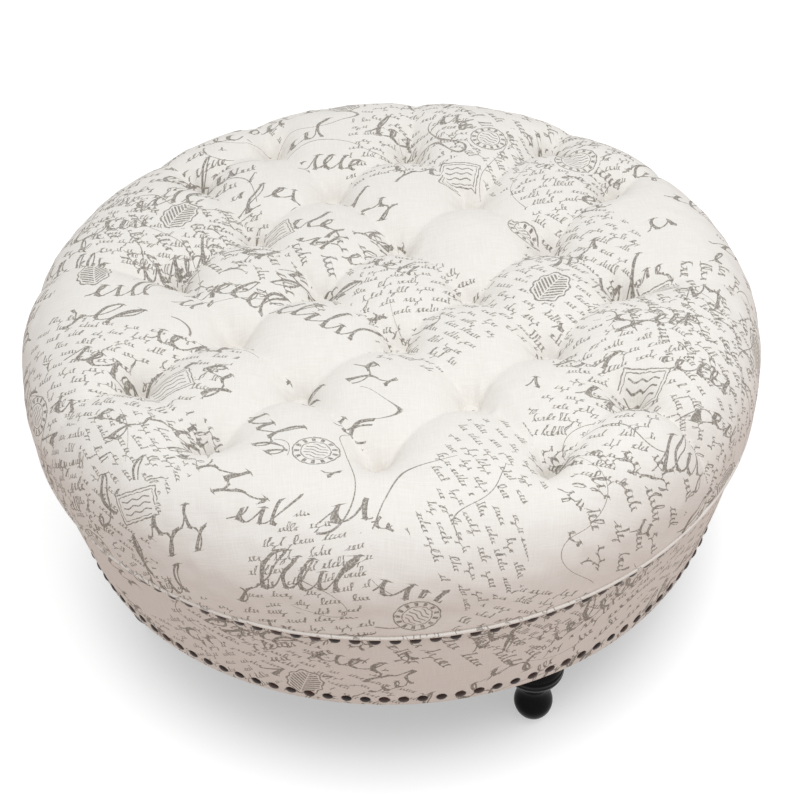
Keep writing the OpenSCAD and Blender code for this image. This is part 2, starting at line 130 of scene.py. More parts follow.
def line_at(name: str, value: str, middle: str, half: str) -> list[tuple]:
    """Write the sum of a drawn line, which lies where a value is near its middle.

    Args:
        name: start of the results' names; the line is where `name`_e is above 0.
        value: the value.
        middle: the value on the line's middle.
        half: half the line's width.

    Returns:
        Lines for work_out.
    """
    return [(f"{name}_d", "SUBTRACT", value, middle), (f"{name}_a", "ABSOLUTE", f"{name}_d"),
            (f"{name}_e", "SUBTRACT", half, f"{name}_a")]


def group_with(name: str, inputs: dict[str, tuple[str, object]],
               outputs: Iterable[str]) -> tuple[NodeTree, dict]:
    """Start a shader group with named inputs and results.

    Args:
        name: the group's name.
        inputs: socket type and start value by input name.
        outputs: names of the results, all numbers.

    Returns:
        The tree, and its input sockets by name.
    """
    tree = bpy.data.node_groups.new(name, "ShaderNodeTree")
    for key, (kind, value) in inputs.items():
        socket = tree.interface.new_socket(name=key, in_out="INPUT", socket_type=kind)
        if value is not None:
            socket.default_value = value
    for key in outputs:
        tree.interface.new_socket(name=key, in_out="OUTPUT", socket_type="NodeSocketFloat")
    given = add(tree, "NodeGroupInput")
    return tree, {s.name: s for s in given.outputs if s.name}


def new_material(name: str) -> tuple[Material, NodeTree]:
    """Make an empty node material.

    Args:
        name: the material's name.

    Returns:
        The material and its tree.
    """
    material = bpy.data.materials.new(name)
    material.use_nodes = True
    material.node_tree.nodes.clear()
    return material, material.node_tree


def finish_surface(tree: NodeTree, colour: object, rough: object, bump: object = None,
                   depth: float = 0.001, **fixed: object) -> None:
    """Close a material with the standard surface shader.

    Args:
        tree: the material's tree.
        colour: base colour, a socket or a linear colour.
        rough: roughness, a socket or a number.
        bump: height, 0 to 1, or None.
        depth: metres that the height stands for.
        fixed: other inputs of the shader, with underscores for spaces.
    """
    surface = add(tree, "ShaderNodeBsdfPrincipled",
                  named={"Base Color": colour, "Roughness": rough})
    for key, value in fixed.items():
        surface.inputs[key.replace("_", " ")].default_value = value
    if bump is not None:
        raised = add(tree, "ShaderNodeBump",
                     named={"Strength": 1.0, "Distance": depth, "Height": bump})
        tree.links.new(raised.outputs[0], surface.inputs["Normal"])
    add(tree, "ShaderNodeOutputMaterial", surface)


# The printed linen


@dataclass(frozen=True)
class Script:
    """One size of the pen-stroke lines printed on the cloth: loops that form no letters.

    Sizes are metres. `share` is how many of the print's blocks hold this size, and
    `block` is how far apart the middles of the blocks are.
    """

    x_height: float
    letter: float
    line: float
    stroke: float
    block: float
    share: float
    swing: float
    seed: float


@dataclass(frozen=True)
class Hand:
    """How the pen moves, in loops, in heights of a small loop or in shares of a line.

    A block with the tag `level_tag` isn't turned. `slant` is sideways for each metre up.
    Words are runs of `word_loops`, whose first few are left out as the space between them.
    Each loop is of the `hanging` kind up to that chance, and of the tall kind past `tall_past`.
    """

    scatter: float = 0.8
    same_block: float = 0.001
    level_tag: float = 0.42
    wavers_per_loop: float = 0.33
    waver_x: float = 1.6
    waver_y: float = 0.9
    baseline: float = 0.36
    slant: float = -0.5
    line_slip: float = 0.37
    word_slip: float = 3.0
    word_loops: float = 7.0
    space_span: float = 2.2
    space_least: float = 0.6
    hanging: float = 0.14
    tall_past: float = 0.78
    height_span: float = 0.5
    height_least: float = 0.72
    tall_more: float = 1.25
    hanging_more: float = 0.45
    bow_span: float = 0.34
    bow_least: float = 0.07
    bow_more: float = 0.12
    upstroke: float = 0.72
    downstroke: float = 1.35
    least_square: float = 0.30
    bleed: float = 0.22 * MM


@dataclass(frozen=True)
class Stamps:
    """The printed seals, leaf ovals and framed waves.

    Sizes are metres, `_line` is half a line's width, and `ticks`, `lobes` and `wave_turns`
    are repeats round the stamp or radians for each metre.
    """

    pitch: float = 0.17
    share: float = 0.6
    scatter: float = 0.62
    clear_r: float = 29 * MM
    bleed: float = 0.25 * MM
    turn_span: float = 1.6
    turn_least: float = -0.8
    rubs_per_m: float = 160.0
    rub_span: float = 2.4 * MM
    rub_least: float = -1.2 * MM
    seals: float = 0.42
    frames_past: float = 0.72
    rim_r: float = 24 * MM
    rim_line: float = 0.8 * MM
    inner_r: float = 15.5 * MM
    inner_line: float = 0.6 * MM
    ticks: float = 13.0
    ticks_r: float = 19.8 * MM
    ticks_long: float = 2.6 * MM
    ticks_wide: float = 1.6 * MM
    ticks_gap: float = -0.5 * MM
    wave_turns: float = 420.0
    wave_h: float = 1.1 * MM
    wave_pitch: float = 2.6 * MM
    wave_line: float = 0.7 * MM
    waves_r: float = 12.5 * MM
    oval_wide: float = 0.72
    lobes: float = 9.0
    lobe_h: float = 1.1 * MM
    oval_r: float = 20 * MM
    oval_line: float = 1.0 * MM
    leaf_slope: float = -0.9
    leaf_pitch: float = 2.9 * MM
    leaf_gap: float = 1.25 * MM
    leaves_r: float = 17 * MM
    stem_line: float = 0.7 * MM
    frame_x: float = 26 * MM
    frame_y: float = 17 * MM
    frame_line: float = 0.75 * MM
    second_in: float = 3.4 * MM
    second_line: float = 0.5 * MM
    bed_pitch: float = 3.6 * MM
    bed_line: float = 0.8 * MM
    bed_edge: float = -7.5 * MM


@dataclass(frozen=True)
class PrintedLinen:
    """Linen-look upholstery cloth with a taupe screen print.

    Plain-woven with uneven slub threads, so it is matt, with a little sheen from loose
    fibres. The print sinks into the cloth: no gloss, and worn a little on the threads.
    """

    cloth: str = "EFECE7"
    cloth_shade: str = "E9E5DF"
    ink: str = "989289"
    ink_deep: str = "7E7870"
    # Threads are 0.5 mm apart; drawn at 1.6 mm, the finest that shows in the render
    thread: float = 1.6 * MM
    # How finely a thread varies along its length, against across it
    thread_along: float = 0.06
    rough: float = 0.88
    relief: float = 0.12 * MM
    # Flourishes: features of their slow field for each metre, how far from its level the line
    # starts and is full, and where the line is lifted
    slow_per_m: float = 7.0
    slow_bend: float = 0.6
    flourish: tuple[float, float] = (0.0042, 0.0016)
    lifts_per_m: float = 5.0
    lifted_below: float = 0.56
    # Dry specks in the ink, and patches where it is thicker, for each metre
    specks_per_m: float = 420.0
    specks_between: tuple[float, float] = (0.36, 0.52)
    speck_ink: float = 0.5
    patches_per_m: float = 90.0
    hand: Hand = Hand()
    stamps: Stamps = Stamps()
    scripts: tuple[Script, ...] = (
        Script(3.8 * MM, 4.6 * MM, 15 * MM, 0.56 * MM, 0.130, 0.44, 0.9, 3.0),
        Script(6.9 * MM, 7.9 * MM, 25 * MM, 0.88 * MM, 0.165, 0.34, 1.0, 11.0),
        Script(17.5 * MM, 19.5 * MM, 74 * MM, 1.60 * MM, 0.210, 0.55, 0.7, 23.0),
    )

    def pen_group(self) -> NodeTree:
        """Build the group that draws lines of joined pen loops in turned blocks.

        Returns:
            A shader group from a point on the cloth to the ink there.
        """
        floats = ("X Height", "Letter", "Line", "Stroke", "Block", "Share", "Swing", "Seed")
        tree, k = group_with(
            "pen_lines",
            {"Point": ("NodeSocketVector", None)} | {f: ("NodeSocketFloat", 0.01) for f in floats},
            ["Ink"])
        k |= asdict(self.hand)
        # The block that this point lies in, and its turn
        per_block = add(tree, M, 1.0, k["Block"], operation="DIVIDE")
        in_blocks = add(tree, V, k["Point"], per_block, operation="SCALE")
        offset = add(tree, "ShaderNodeCombineXYZ", k["Seed"], k["Seed"], 0.0)
        cell_at = add(tree, V, in_blocks, offset, operation="ADD")
        block = add(tree, "ShaderNodeTexVoronoi", voronoi_dimensions="2D", feature="F1",
                    named={"Vector": cell_at, "Scale": 1.0, "Randomness": k["scatter"]})
        centre = block.outputs["Position"]
        from_centre = add(tree, V, cell_at, centre, operation="SUBTRACT")
        split = add(tree, "ShaderNodeSeparateColor", block.outputs["Color"])
        k["pick_turn"], k["pick_tag"], k["pick_share"] = split.outputs
        work_out(tree, k, [
            ("half", "SUBTRACT", "pick_turn", "level_tag"),
            ("turn", "MULTIPLY", "half", "Swing"),
            ("turn_2", "MULTIPLY", "turn", 2.0),
        ])
        turned = add(tree, "ShaderNodeVectorRotate", rotation_type="Z_AXIS",
                     named={"Vector": from_centre, "Angle": k["turn_2"]})
        local = add(tree, V, turned, k["Block"], operation="SCALE")
        # The hand wavers: slow sideways and up-and-down drift
        work_out(tree, k, [("per_letter", "DIVIDE", "wavers_per_loop", "Letter")])
        waver = add(tree, "ShaderNodeTexNoise", noise_dimensions="2D",
                    named={"Vector": local, "Scale": k["per_letter"], "Detail": 1.0})
        drift = add(tree, "ShaderNodeSeparateColor", waver.outputs["Color"])
        k["drift_x"], k["drift_y"] = drift.outputs[0], drift.outputs[1]
        place = add(tree, "ShaderNodeSeparateXYZ", local)
        k["x"], k["y"] = place.outputs[0], place.outputs[1]
        work_out(tree, k, [
            ("dx", "SUBTRACT", "drift_x", 0.5), ("dx_l", "MULTIPLY", "dx", "Letter"),
            ("x_w", "MULTIPLY_ADD", "dx_l", "waver_x", "x"),
            ("dy", "SUBTRACT", "drift_y", 0.5), ("dy_h", "MULTIPLY", "dy", "X Height"),
            ("y_w", "MULTIPLY_ADD", "dy_h", "waver_y", "y"),
            # The line of writing, and the height above its baseline
            ("y_l", "DIVIDE", "y_w", "Line"), ("row", "FLOOR", "y_l"),
            ("base", "ADD", "row", "baseline"), ("base_y", "MULTIPLY", "base", "Line"),
            ("up", "SUBTRACT", "y_w", "base_y"),
            ("lean", "MULTIPLY", "up", "slant"), ("x_s", "ADD", "x_w", "lean"),
            ("row_shift", "MULTIPLY", "row", "line_slip"),
            ("x_p", "DIVIDE", "x_s", "Letter"), ("x_q", "ADD", "x_p", "row_shift"),
            ("n", "FLOOR", "x_q"), ("u", "SUBTRACT", "x_q", "n"),
        ])
        seed = add(tree, "ShaderNodeCombineXYZ", k["n"], k["row"], k["pick_tag"])
        dice = add(tree, "ShaderNodeTexWhiteNoise", noise_dimensions="3D", named={"Vector": seed})
        rolled = add(tree, "ShaderNodeSeparateColor", dice.outputs["Color"])
        k["kind"], k["loop"], k["tall"] = rolled.outputs
        # Runs of four to six joined strokes, then a space
        work_out(tree, k, [
            ("row_slip", "MULTIPLY", "row", "word_slip"), ("n_r", "ADD", "n", "row_slip"),
            ("words", "DIVIDE", "n_r", "word_loops"), ("word", "FLOOR", "words"),
            ("word_n", "MULTIPLY", "word", "word_loops"),
            ("in_word", "SUBTRACT", "n_r", "word_n"),
        ])
        word = add(tree, "ShaderNodeCombineXYZ", k["word"], k["row"], k["pick_turn"])
        k["space"] = add(tree, "ShaderNodeTexWhiteNoise", noise_dimensions="3D",
                         named={"Vector": word}).outputs["Value"]
        work_out(tree, k, [
            ("spaces", "MULTIPLY_ADD", "space", "space_span", "space_least"),
            ("is_gap", "LESS_THAN", "in_word", "spaces"), ("inked", "SUBTRACT", 1.0, "is_gap"),
            # A stroke's kind: hanging loop, plain loop or tall loop
            ("low", "LESS_THAN", "kind", "hanging"),
            ("high", "GREATER_THAN", "kind", "tall_past"),
            ("odd", "ADD", "low", "high"),
            ("tall_h", "MULTIPLY_ADD", "tall", "height_span", "height_least"),
            ("grow", "MULTIPLY_ADD", "high", "tall_more", "tall_h"),
            ("grow_2", "MULTIPLY_ADD", "low", "hanging_more", "grow"),
            ("h", "MULTIPLY", "grow_2", "X Height"),
            ("sign", "MULTIPLY_ADD", "low", -2.0, 1.0),
            ("b_0", "MULTIPLY_ADD", "loop", "bow_span", "bow_least"),
            ("b", "MULTIPLY_ADD", "odd", "bow_more", "b_0"),
            # Distance to a trochoid that starts and ends on the baseline
            ("v", "MULTIPLY", "up", "sign"),
            ("v_h", "DIVIDE", "v", "h"), ("c_free", "MULTIPLY_ADD", "v_h", -2.0, 1.0),
            ("c_low", "MAXIMUM", "c_free", -1.0), ("c", "MINIMUM", "c_low", 1.0),
            ("over", "SUBTRACT", "c_free", "c"), ("over_a", "ABSOLUTE", "over"),
            ("over_h", "MULTIPLY", "over_a", "h"), ("beyond", "MULTIPLY", "over_h", 0.5),
            ("cc", "MULTIPLY", "c", "c"), ("ss", "SUBTRACT", 1.0, "cc"),
            ("s", "SQRT", "ss"), ("arc", "ARCCOSINE", "c"),
            ("t", "DIVIDE", "arc", 2 * math.pi),
            ("bs", "MULTIPLY", "b", "s"), ("reach", "ADD", "t", "bs"),
            ("run_b", "MULTIPLY", "b", "c"),
            ("run_c", "MULTIPLY_ADD", "run_b", 2 * math.pi, 1.0),
            ("run", "MULTIPLY", "run_c", "Letter"),
            ("rise_h", "MULTIPLY", "h", math.pi), ("rise", "MULTIPLY", "rise_h", "s"),
            ("run_2", "MULTIPLY", "run", "run"),
            ("steep", "MULTIPLY_ADD", "rise", "rise", "run_2"),
            ("steep_r", "SQRT", "steep"), ("square", "DIVIDE", "rise", "steep_r"),
            ("square_m", "MAXIMUM", "square", "least_square"),
            ("scale", "MULTIPLY", "square_m", "Letter"),
            ("gap_1", "SUBTRACT", "u", "reach"), ("gap_1a", "ABSOLUTE", "gap_1"),
            ("d_1", "MULTIPLY_ADD", "gap_1a", "scale", "beyond"),
            ("back", "ADD", "u", "reach"), ("gap_2", "SUBTRACT", "back", 1.0),
            ("gap_2a", "ABSOLUTE", "gap_2"),
            ("d_2", "MULTIPLY_ADD", "gap_2a", "scale", "beyond"),
            # A pointed pen: thin going up, broad coming down
            ("thin", "MULTIPLY", "Stroke", "upstroke"),
            ("broad", "MULTIPLY", "Stroke", "downstroke"),
            ("e_1", "SUBTRACT", "thin", "d_1"), ("e_2", "SUBTRACT", "broad", "d_2"),
            ("edge", "MAXIMUM", "e_1", "e_2"),
            # Whole strokes only: the stroke's own middle has to lie in the same block
            ("n_mid", "ADD", "n", 0.5), ("n_back", "SUBTRACT", "n_mid", "row_shift"),
            ("mid_x", "MULTIPLY", "n_back", "Letter"),
            ("mid_xb", "DIVIDE", "mid_x", "Block"), ("mid_yb", "DIVIDE", "base_y", "Block"),
            ("turn_back", "MULTIPLY", "turn_2", -1.0),
        ])
        middle = add(tree, "ShaderNodeCombineXYZ", k["mid_xb"], k["mid_yb"], 0.0)
        turned_back = add(tree, "ShaderNodeVectorRotate", rotation_type="Z_AXIS",
                          named={"Vector": middle, "Angle": k["turn_back"]})
        home = add(tree, V, turned_back, centre, operation="ADD")
        own = add(tree, "ShaderNodeTexVoronoi", voronoi_dimensions="2D", feature="F1",
                  named={"Vector": home, "Scale": 1.0, "Randomness": k["scatter"]})
        k["apart"] = add(tree, V, own.outputs["Position"], centre, operation="DISTANCE")
        work_out(tree, k, [
            ("together", "LESS_THAN", "apart", "same_block"),
            ("chosen", "LESS_THAN", "pick_share", "Share"),
            ("keep_1", "MULTIPLY", "together", "chosen"), ("keep", "MULTIPLY", "keep_1", "inked"),
        ])
        soft = add(tree, "ShaderNodeMapRange", interpolation_type="SMOOTHSTEP",
                   named={"Value": k["edge"], "From Min": -k["bleed"], "From Max": k["bleed"]})
        ink = add(tree, M, soft, k["keep"], operation="MULTIPLY")
        add(tree, "NodeGroupOutput", ink)
        return tree

    def motif_group(self) -> NodeTree:
        """Build the group that stamps seals, leaf ovals and framed waves.

        Returns:
            A shader group from a point on the cloth to the ink there.
        """
        tree, k = group_with("stamps", {"Point": ("NodeSocketVector", None),
                                        "Pitch": ("NodeSocketFloat", self.stamps.pitch),
                                        "Share": ("NodeSocketFloat", self.stamps.share)},
                             ["Ink", "Clear"])
        k |= asdict(self.stamps)
        per_pitch = add(tree, M, 1.0, k["Pitch"], operation="DIVIDE")
        scaled = add(tree, V, k["Point"], per_pitch, operation="SCALE")
        cell = add(tree, "ShaderNodeTexVoronoi", voronoi_dimensions="2D", feature="F1",
                   named={"Vector": scaled, "Scale": 1.0, "Randomness": k["scatter"]})
        pick = add(tree, "ShaderNodeSeparateColor", cell.outputs["Color"])
        away = add(tree, V, scaled, cell.outputs["Position"], operation="SUBTRACT")
        k["pick_turn"], k["pick_kind"], k["pick_share"] = pick.outputs
        work_out(tree, k, [("turn", "MULTIPLY_ADD", "pick_turn", "turn_span", "turn_least")])
        turned = add(tree, "ShaderNodeVectorRotate", rotation_type="Z_AXIS",
                     named={"Vector": away, "Angle": k["turn"]})
        metres = add(tree, V, turned, k["Pitch"], operation="SCALE")
        rough = add(tree, "ShaderNodeTexNoise", noise_dimensions="2D",
                    named={"Vector": metres, "Scale": k["rubs_per_m"], "Detail": 1.0})
        place = add(tree, "ShaderNodeSeparateXYZ", metres)
        k["x"], k["y"], k["noise"] = place.outputs[0], place.outputs[1], rough.outputs[0]
        work_out(tree, k, [
            ("xx", "MULTIPLY", "x", "x"), ("rr", "MULTIPLY_ADD", "y", "y", "xx"),
            ("r_0", "SQRT", "rr"), ("rub", "MULTIPLY_ADD", "noise", "rub_span", "rub_least"),
            ("r", "ADD", "r_0", "rub"), ("angle", "ARCTAN2", "y", "x"),
            # Seal: two rings, ticks between them, and waved lines across the middle
            *line_at("rim", "r", "rim_r", "rim_line"),
            *line_at("inner", "r", "inner_r", "inner_line"),
            *line_at("ticks", "r", "ticks_r", "ticks_long"),
            ("tick_t", "MULTIPLY", "angle", "ticks"), ("tick_s", "SINE", "tick_t"),
            ("tick_w", "MULTIPLY_ADD", "tick_s", "ticks_wide", "ticks_gap"),
            ("tick", "MINIMUM", "tick_w", "ticks_e"),
            ("wave_x", "MULTIPLY", "x", "wave_turns"), ("wave_s", "SINE", "wave_x"),
            ("wave_y", "MULTIPLY_ADD", "wave_s", "wave_h", "y"),
            ("wave_p", "PINGPONG", "wave_y", "wave_pitch"),
            ("wave_e", "SUBTRACT", "wave_line", "wave_p"),
            ("wave_r", "SUBTRACT", "waves_r", "r"), ("wave", "MINIMUM", "wave_e", "wave_r"),
            ("seal_1", "MAXIMUM", "rim_e", "inner_e"), ("seal_2", "MAXIMUM", "tick", "wave"),
            ("seal", "MAXIMUM", "seal_1", "seal_2"),
            # Leaf oval: a scalloped oval outline round a stem with slanting leaves
            ("y_o", "MULTIPLY", "y", "oval_wide"), ("oo", "MULTIPLY_ADD", "y_o", "y_o", "xx"),
            ("o_0", "SQRT", "oo"), ("o", "ADD", "o_0", "rub"),
            ("lobe_t", "MULTIPLY", "angle", "lobes"), ("lobe", "SINE", "lobe_t"),
            ("o_l", "MULTIPLY_ADD", "lobe", "lobe_h", "o"),
            *line_at("oval", "o_l", "oval_r", "oval_line"),
            ("x_a", "ABSOLUTE", "x"), ("leaf_y", "MULTIPLY_ADD", "x_a", "leaf_slope", "y"),
            ("leaf_p", "PINGPONG", "leaf_y", "leaf_pitch"),
            ("leaf_e", "SUBTRACT", "leaf_p", "leaf_gap"),
            ("leaf_o", "SUBTRACT", "leaves_r", "o_l"),
            ("leaf_x", "SUBTRACT", "x_a", "stem_line"),
            ("leaf_1", "MINIMUM", "leaf_e", "leaf_o"), ("leaf", "MINIMUM", "leaf_1", "leaf_x"),
            ("oval", "MAXIMUM", "oval_e", "leaf"),
            # Frame: a double rectangle with waved lines inside
            ("fx", "SUBTRACT", "x_a", "frame_x"), ("y_a", "ABSOLUTE", "y"),
            ("fy", "SUBTRACT", "y_a", "frame_y"), ("f_0", "MAXIMUM", "fx", "fy"),
            ("f", "ADD", "f_0", "rub"), ("f_a", "ABSOLUTE", "f"),
            ("frame_e", "SUBTRACT", "frame_line", "f_a"),
            ("f_in", "ADD", "f", "second_in"), ("f_ia", "ABSOLUTE", "f_in"),
            ("frame_i", "SUBTRACT", "second_line", "f_ia"),
            ("bed_p", "PINGPONG", "wave_y", "bed_pitch"),
            ("bed_e", "SUBTRACT", "bed_line", "bed_p"),
            ("bed_f", "SUBTRACT", "bed_edge", "f"), ("bed", "MINIMUM", "bed_e", "bed_f"),
            ("frame_1", "MAXIMUM", "frame_e", "frame_i"),
            ("framed", "MAXIMUM", "frame_1", "bed"),
            # Which of the three this cell holds
            ("is_seal", "LESS_THAN", "pick_kind", "seals"),
            ("is_frame", "GREATER_THAN", "pick_kind", "frames_past"),
        ])
        a = add(tree, "ShaderNodeMix", named={"Factor": k["is_seal"], "A": k["oval"], "B": k["seal"]})
        b = add(tree, "ShaderNodeMix", named={"Factor": k["is_frame"], "A": a, "B": k["framed"]})
        soft = add(tree, "ShaderNodeMapRange", interpolation_type="SMOOTHSTEP",
                   named={"Value": b, "From Min": -k["bleed"], "From Max": k["bleed"]})
        chosen = add(tree, M, k["pick_share"], k["Share"], operation="LESS_THAN")
        around = add(tree, M, k["r_0"], k["clear_r"], operation="LESS_THAN")
        add(tree, "NodeGroupOutput", add(tree, M, soft, chosen, operation="MULTIPLY"),
            add(tree, M, around, chosen, operation="MULTIPLY"))
        return tree

    def make(self, name: str, shift: tuple[float, float] = (0.0, 0.0), turn: float = 0.0,
             wear: float = 1.0, fullness: float = 1.0) -> Material:
        """Make the cloth for one piece, reading its UV map in metres.

        Args:
            name: the material's name.
            shift: metres by which the print is moved on this piece.
            turn: radians by which the print is turned on this piece.
            wear: how strongly the ink shows, 0 to 1.
            fullness: how much more of this piece is written on than of the top.

        Returns:
            The finished material.
        """
        material, tree = new_material(name)
        uv = add(tree, "ShaderNodeUVMap", uv_map="cloth")
        placed = add(tree, "ShaderNodeMapping", named={"Vector": uv, "Location": (*shift, 0.0),
                                                       "Rotation": (0.0, 0.0, turn)})
        pen = bpy.data.node_groups.get("pen_lines") or self.pen_group()
        stamps = bpy.data.node_groups.get("stamps") or self.motif_group()
        written = None
        for script in self.scripts:
            layer = add(tree, "ShaderNodeGroup", node_tree=pen, named={
                "Point": placed, "X Height": script.x_height, "Letter": script.letter,
                "Line": script.line, "Stroke": script.stroke, "Block": script.block,
                "Share": min(1.0, script.share * fullness), "Swing": script.swing,
                "Seed": script.seed})
            written = layer if written is None else add(tree, M, written, layer, operation="MAXIMUM")
        stamp = add(tree, "ShaderNodeGroup", node_tree=stamps, named={"Point": placed})
        # The seals and ovals were printed on clear ground
        bare = add(tree, M, 1.0, stamp.outputs["Clear"], operation="SUBTRACT")
        written = add(tree, M, written, bare, operation="MULTIPLY")
        written = add(tree, M, written, stamp.outputs["Ink"], operation="MAXIMUM")
        # Flourishes: stretches of the level lines of a slow field
        slow = add(tree, "ShaderNodeTexNoise", noise_dimensions="2D",
                   named={"Vector": placed, "Scale": self.slow_per_m, "Detail": 0.0,
                          "Distortion": self.slow_bend})
        level = add(tree, M, slow.outputs[0], 0.5, operation="SUBTRACT")
        level_a = add(tree, M, level, operation="ABSOLUTE")
        thin = add(tree, "ShaderNodeMapRange", interpolation_type="SMOOTHSTEP",
                   named={"Value": level_a, "From Min": self.flourish[0],
                          "From Max": self.flourish[1]})
        part = add(tree, "ShaderNodeTexNoise", noise_dimensions="2D",
                   named={"Vector": placed, "Scale": self.lifts_per_m, "Detail": 0.0})
        part_on = add(tree, M, part.outputs[0], self.lifted_below, operation="GREATER_THAN")
        flourish = add(tree, M, thin, part_on, operation="MULTIPLY")
        written = add(tree, M, written, flourish, operation="MAXIMUM")
        # Dry patches where the screen printed thinly
        dry = add(tree, "ShaderNodeTexNoise", noise_dimensions="2D", named={
            "Vector": placed, "Scale": self.specks_per_m, "Detail": 2.0, "Roughness": 0.7})
        dry_amount = add(tree, "ShaderNodeMapRange", dry.outputs[0], *self.specks_between,
                         self.speck_ink, 1.0)
        ink = add(tree, M, written, dry_amount, operation="MULTIPLY")
        ink = add(tree, M, ink, wear, operation="MULTIPLY")
        # Threads of uneven thickness, warp and weft
        threads = []
        for shape in ((1.0, self.thread_along, 1.0), (self.thread_along, 1.0, 1.0)):
            drawn = add(tree, "ShaderNodeMapping", named={"Vector": uv, "Scale": shape})
            threads.append(add(tree, "ShaderNodeTexNoise", noise_dimensions="2D", named={
                "Vector": drawn, "Scale": 1 / self.thread, "Detail": 2.0,
                "Roughness": 0.6}).outputs[0])
        weave = add(tree, M, threads[0], threads[1], operation="ADD")
        weave = add(tree, "ShaderNodeMapRange",
                    named={"Value": weave, "From Min": 0.7, "From Max": 1.3})
        ground = add(tree, "ShaderNodeMix", data_type="RGBA", named={
            "Factor": weave, "A": linear(self.cloth_shade), "B": linear(self.cloth)})
        patch = add(tree, "ShaderNodeTexNoise", noise_dimensions="2D",
                    named={"Vector": placed, "Scale": self.patches_per_m, "Detail": 1.0})
        inks = add(tree, "ShaderNodeMix", data_type="RGBA", named={
            "Factor": patch.outputs[0], "A": linear(self.ink), "B": linear(self.ink_deep)})
        colour = add(tree, "ShaderNodeMix", data_type="RGBA",
                     named={"Factor": ink, "A": ground.outputs[2], "B": inks.outputs[2]})
        finish_surface(tree, colour.outputs[2], self.rough, weave, self.relief, Sheen_Weight=0.06,
                       Sheen_Roughness=0.5, Specular_IOR_Level=0.3)
        return material


# Other finishes


class Grain(Enum):
    """How a plain pattern lies on a piece."""

    SPECKLED = (1.0, 1.0, 1.0)
    ALONG_X = (0.08, 1.0, 1.0)
    ALONG_Z = (1.0, 1.0, 0.08)
    LAYERED = (0.02, 0.02, 1.0)


@dataclass(frozen=True)
class Finish:
    """A finish of one stuff: two colours mixed by a pattern of a real size.

    `size` is the pattern's grain in metres, `relief` the height that it stands for.
    """

    name: str
    colour: str
    other: str
    size: float
    rough: float
    grain: Grain = Grain.SPECKLED
    relief: float = 0.1 * MM
    metallic: float = 0.0
    detail: float = 3.0
    gloss: float = 0.5
    # The pattern's middle range that runs from one colour to the other, how much rougher or
    # smoother it makes the surface, and the smoothest that a surface gets
    middle: tuple[float, float] = (0.3, 0.7)
    swing: float = 0.1
    smoothest: float = 0.03

    def make(self) -> Material:
        """Make the material, or find the one made before.

        Returns:
            The finished material.
        """
        ready = bpy.data.materials.get(self.name)
        if ready:
            return ready
        material, tree = new_material(self.name)
        where = add(tree, "ShaderNodeTexCoord").outputs["Object"]
        drawn = add(tree, "ShaderNodeMapping", named={"Vector": where, "Scale": self.grain.value})
        noise = add(tree, "ShaderNodeTexNoise", named={
            "Vector": drawn, "Scale": 1 / self.size, "Detail": self.detail, "Roughness": 0.6})
        spread = add(tree, "ShaderNodeMapRange", noise.outputs[0], *self.middle)
        colour = add(tree, "ShaderNodeMix", data_type="RGBA", named={
            "Factor": spread, "A": linear(self.colour), "B": linear(self.other)})
        rough = add(tree, "ShaderNodeMapRange", named={
            "Value": noise.outputs[0], "To Min": max(self.smoothest, self.rough - self.swing),
            "To Max": min(1.0, self.rough + self.swing)})
        finish_surface(tree, colour.outputs[2], rough, spread, self.relief, Metallic=self.metallic,
                       Specular_IOR_Level=self.gloss)
        return material


# Poplar, sawn and planed: pale, with straight grain and no gloss
POPLAR = Finish("sawn_poplar", "CDB58C", "B79B6F", 4 * MM, 0.62, Grain.ALONG_Z, 0.2 * MM)
RAIL_POPLAR = Finish("rail_poplar", "CDB58C", "B79B6F", 4 * MM, 0.62, Grain.ALONG_X, 0.2 * MM)
# Birch plywood: its edge shows the glued layers, 1.4 mm each
PLYWOOD = Finish("birch_plywood", "D9C49C", "B08F61", 1.4 * MM, 0.6, Grain.LAYERED, 0.15 * MM)
# Hardboard: pressed brown fibre, smooth face
HARDBOARD = Finish("pressed_hardboard", "7A5638", "64452C", 2 * MM, 0.7)
# Polyurethane foam: fine open cells, about 1 mm
FOAM = Finish("cut_foam", "E9DFB8", "D8CC9E", 1.2 * MM, 0.95, relief=0.5 * MM)
# Polyester wadding: loose white fibre in clumps of about 12 mm
WADDING = Finish("loose_wadding", "F4F3F0", "E6E4DF", 12 * MM, 1.0, relief=1.5 * MM, detail=6.0)
# Waxed tufting twine, laid from fine flax threads
TWINE = Finish("waxed_twine", "E5DAC0", "C9B990", 0.8 * MM, 0.7)
# Vulcanised fibre: pressed rag board, hard and dull
FIBRE = Finish("vulcanised_fibre", "9A6A45", "7F5436", 1.5 * MM, 0.6)
# Zinc-plated steel, faintly mottled by the bath
ZINC = Finish("zinc_plate", "B9BCBE", "A3A7AA", 3 * MM, 0.32, relief=0.02 * MM, metallic=1.0)
# Zinc-plated steel, passivated yellow
YELLOW_ZINC = Finish("yellow_zinc", "C9AA62", "B28E49", 3 * MM, 0.34, relief=0.02 * MM,
                     metallic=1.0)
# Moulded nylon, with the fine grain of its mould
GLIDE = Finish("moulded_glide", "1B1B1C", "242425", 1 * MM, 0.5, relief=0.03 * MM)
# Turned beech under black lacquer: smooth, with a faint narrow shine
LACQUER = Finish("black_lacquer", "060505", "0B0909", 18 * MM, 0.24, Grain.ALONG_Z, 0.03 * MM,
                 gloss=0.06)
# Spun-bonded dust cloth: pressed fibres, matt black
DUST_CLOTH = Finish("spunbond_cloth", "1D1D1E", "2B2B2C", 1.6 * MM, 0.95, relief=0.15 * MM)


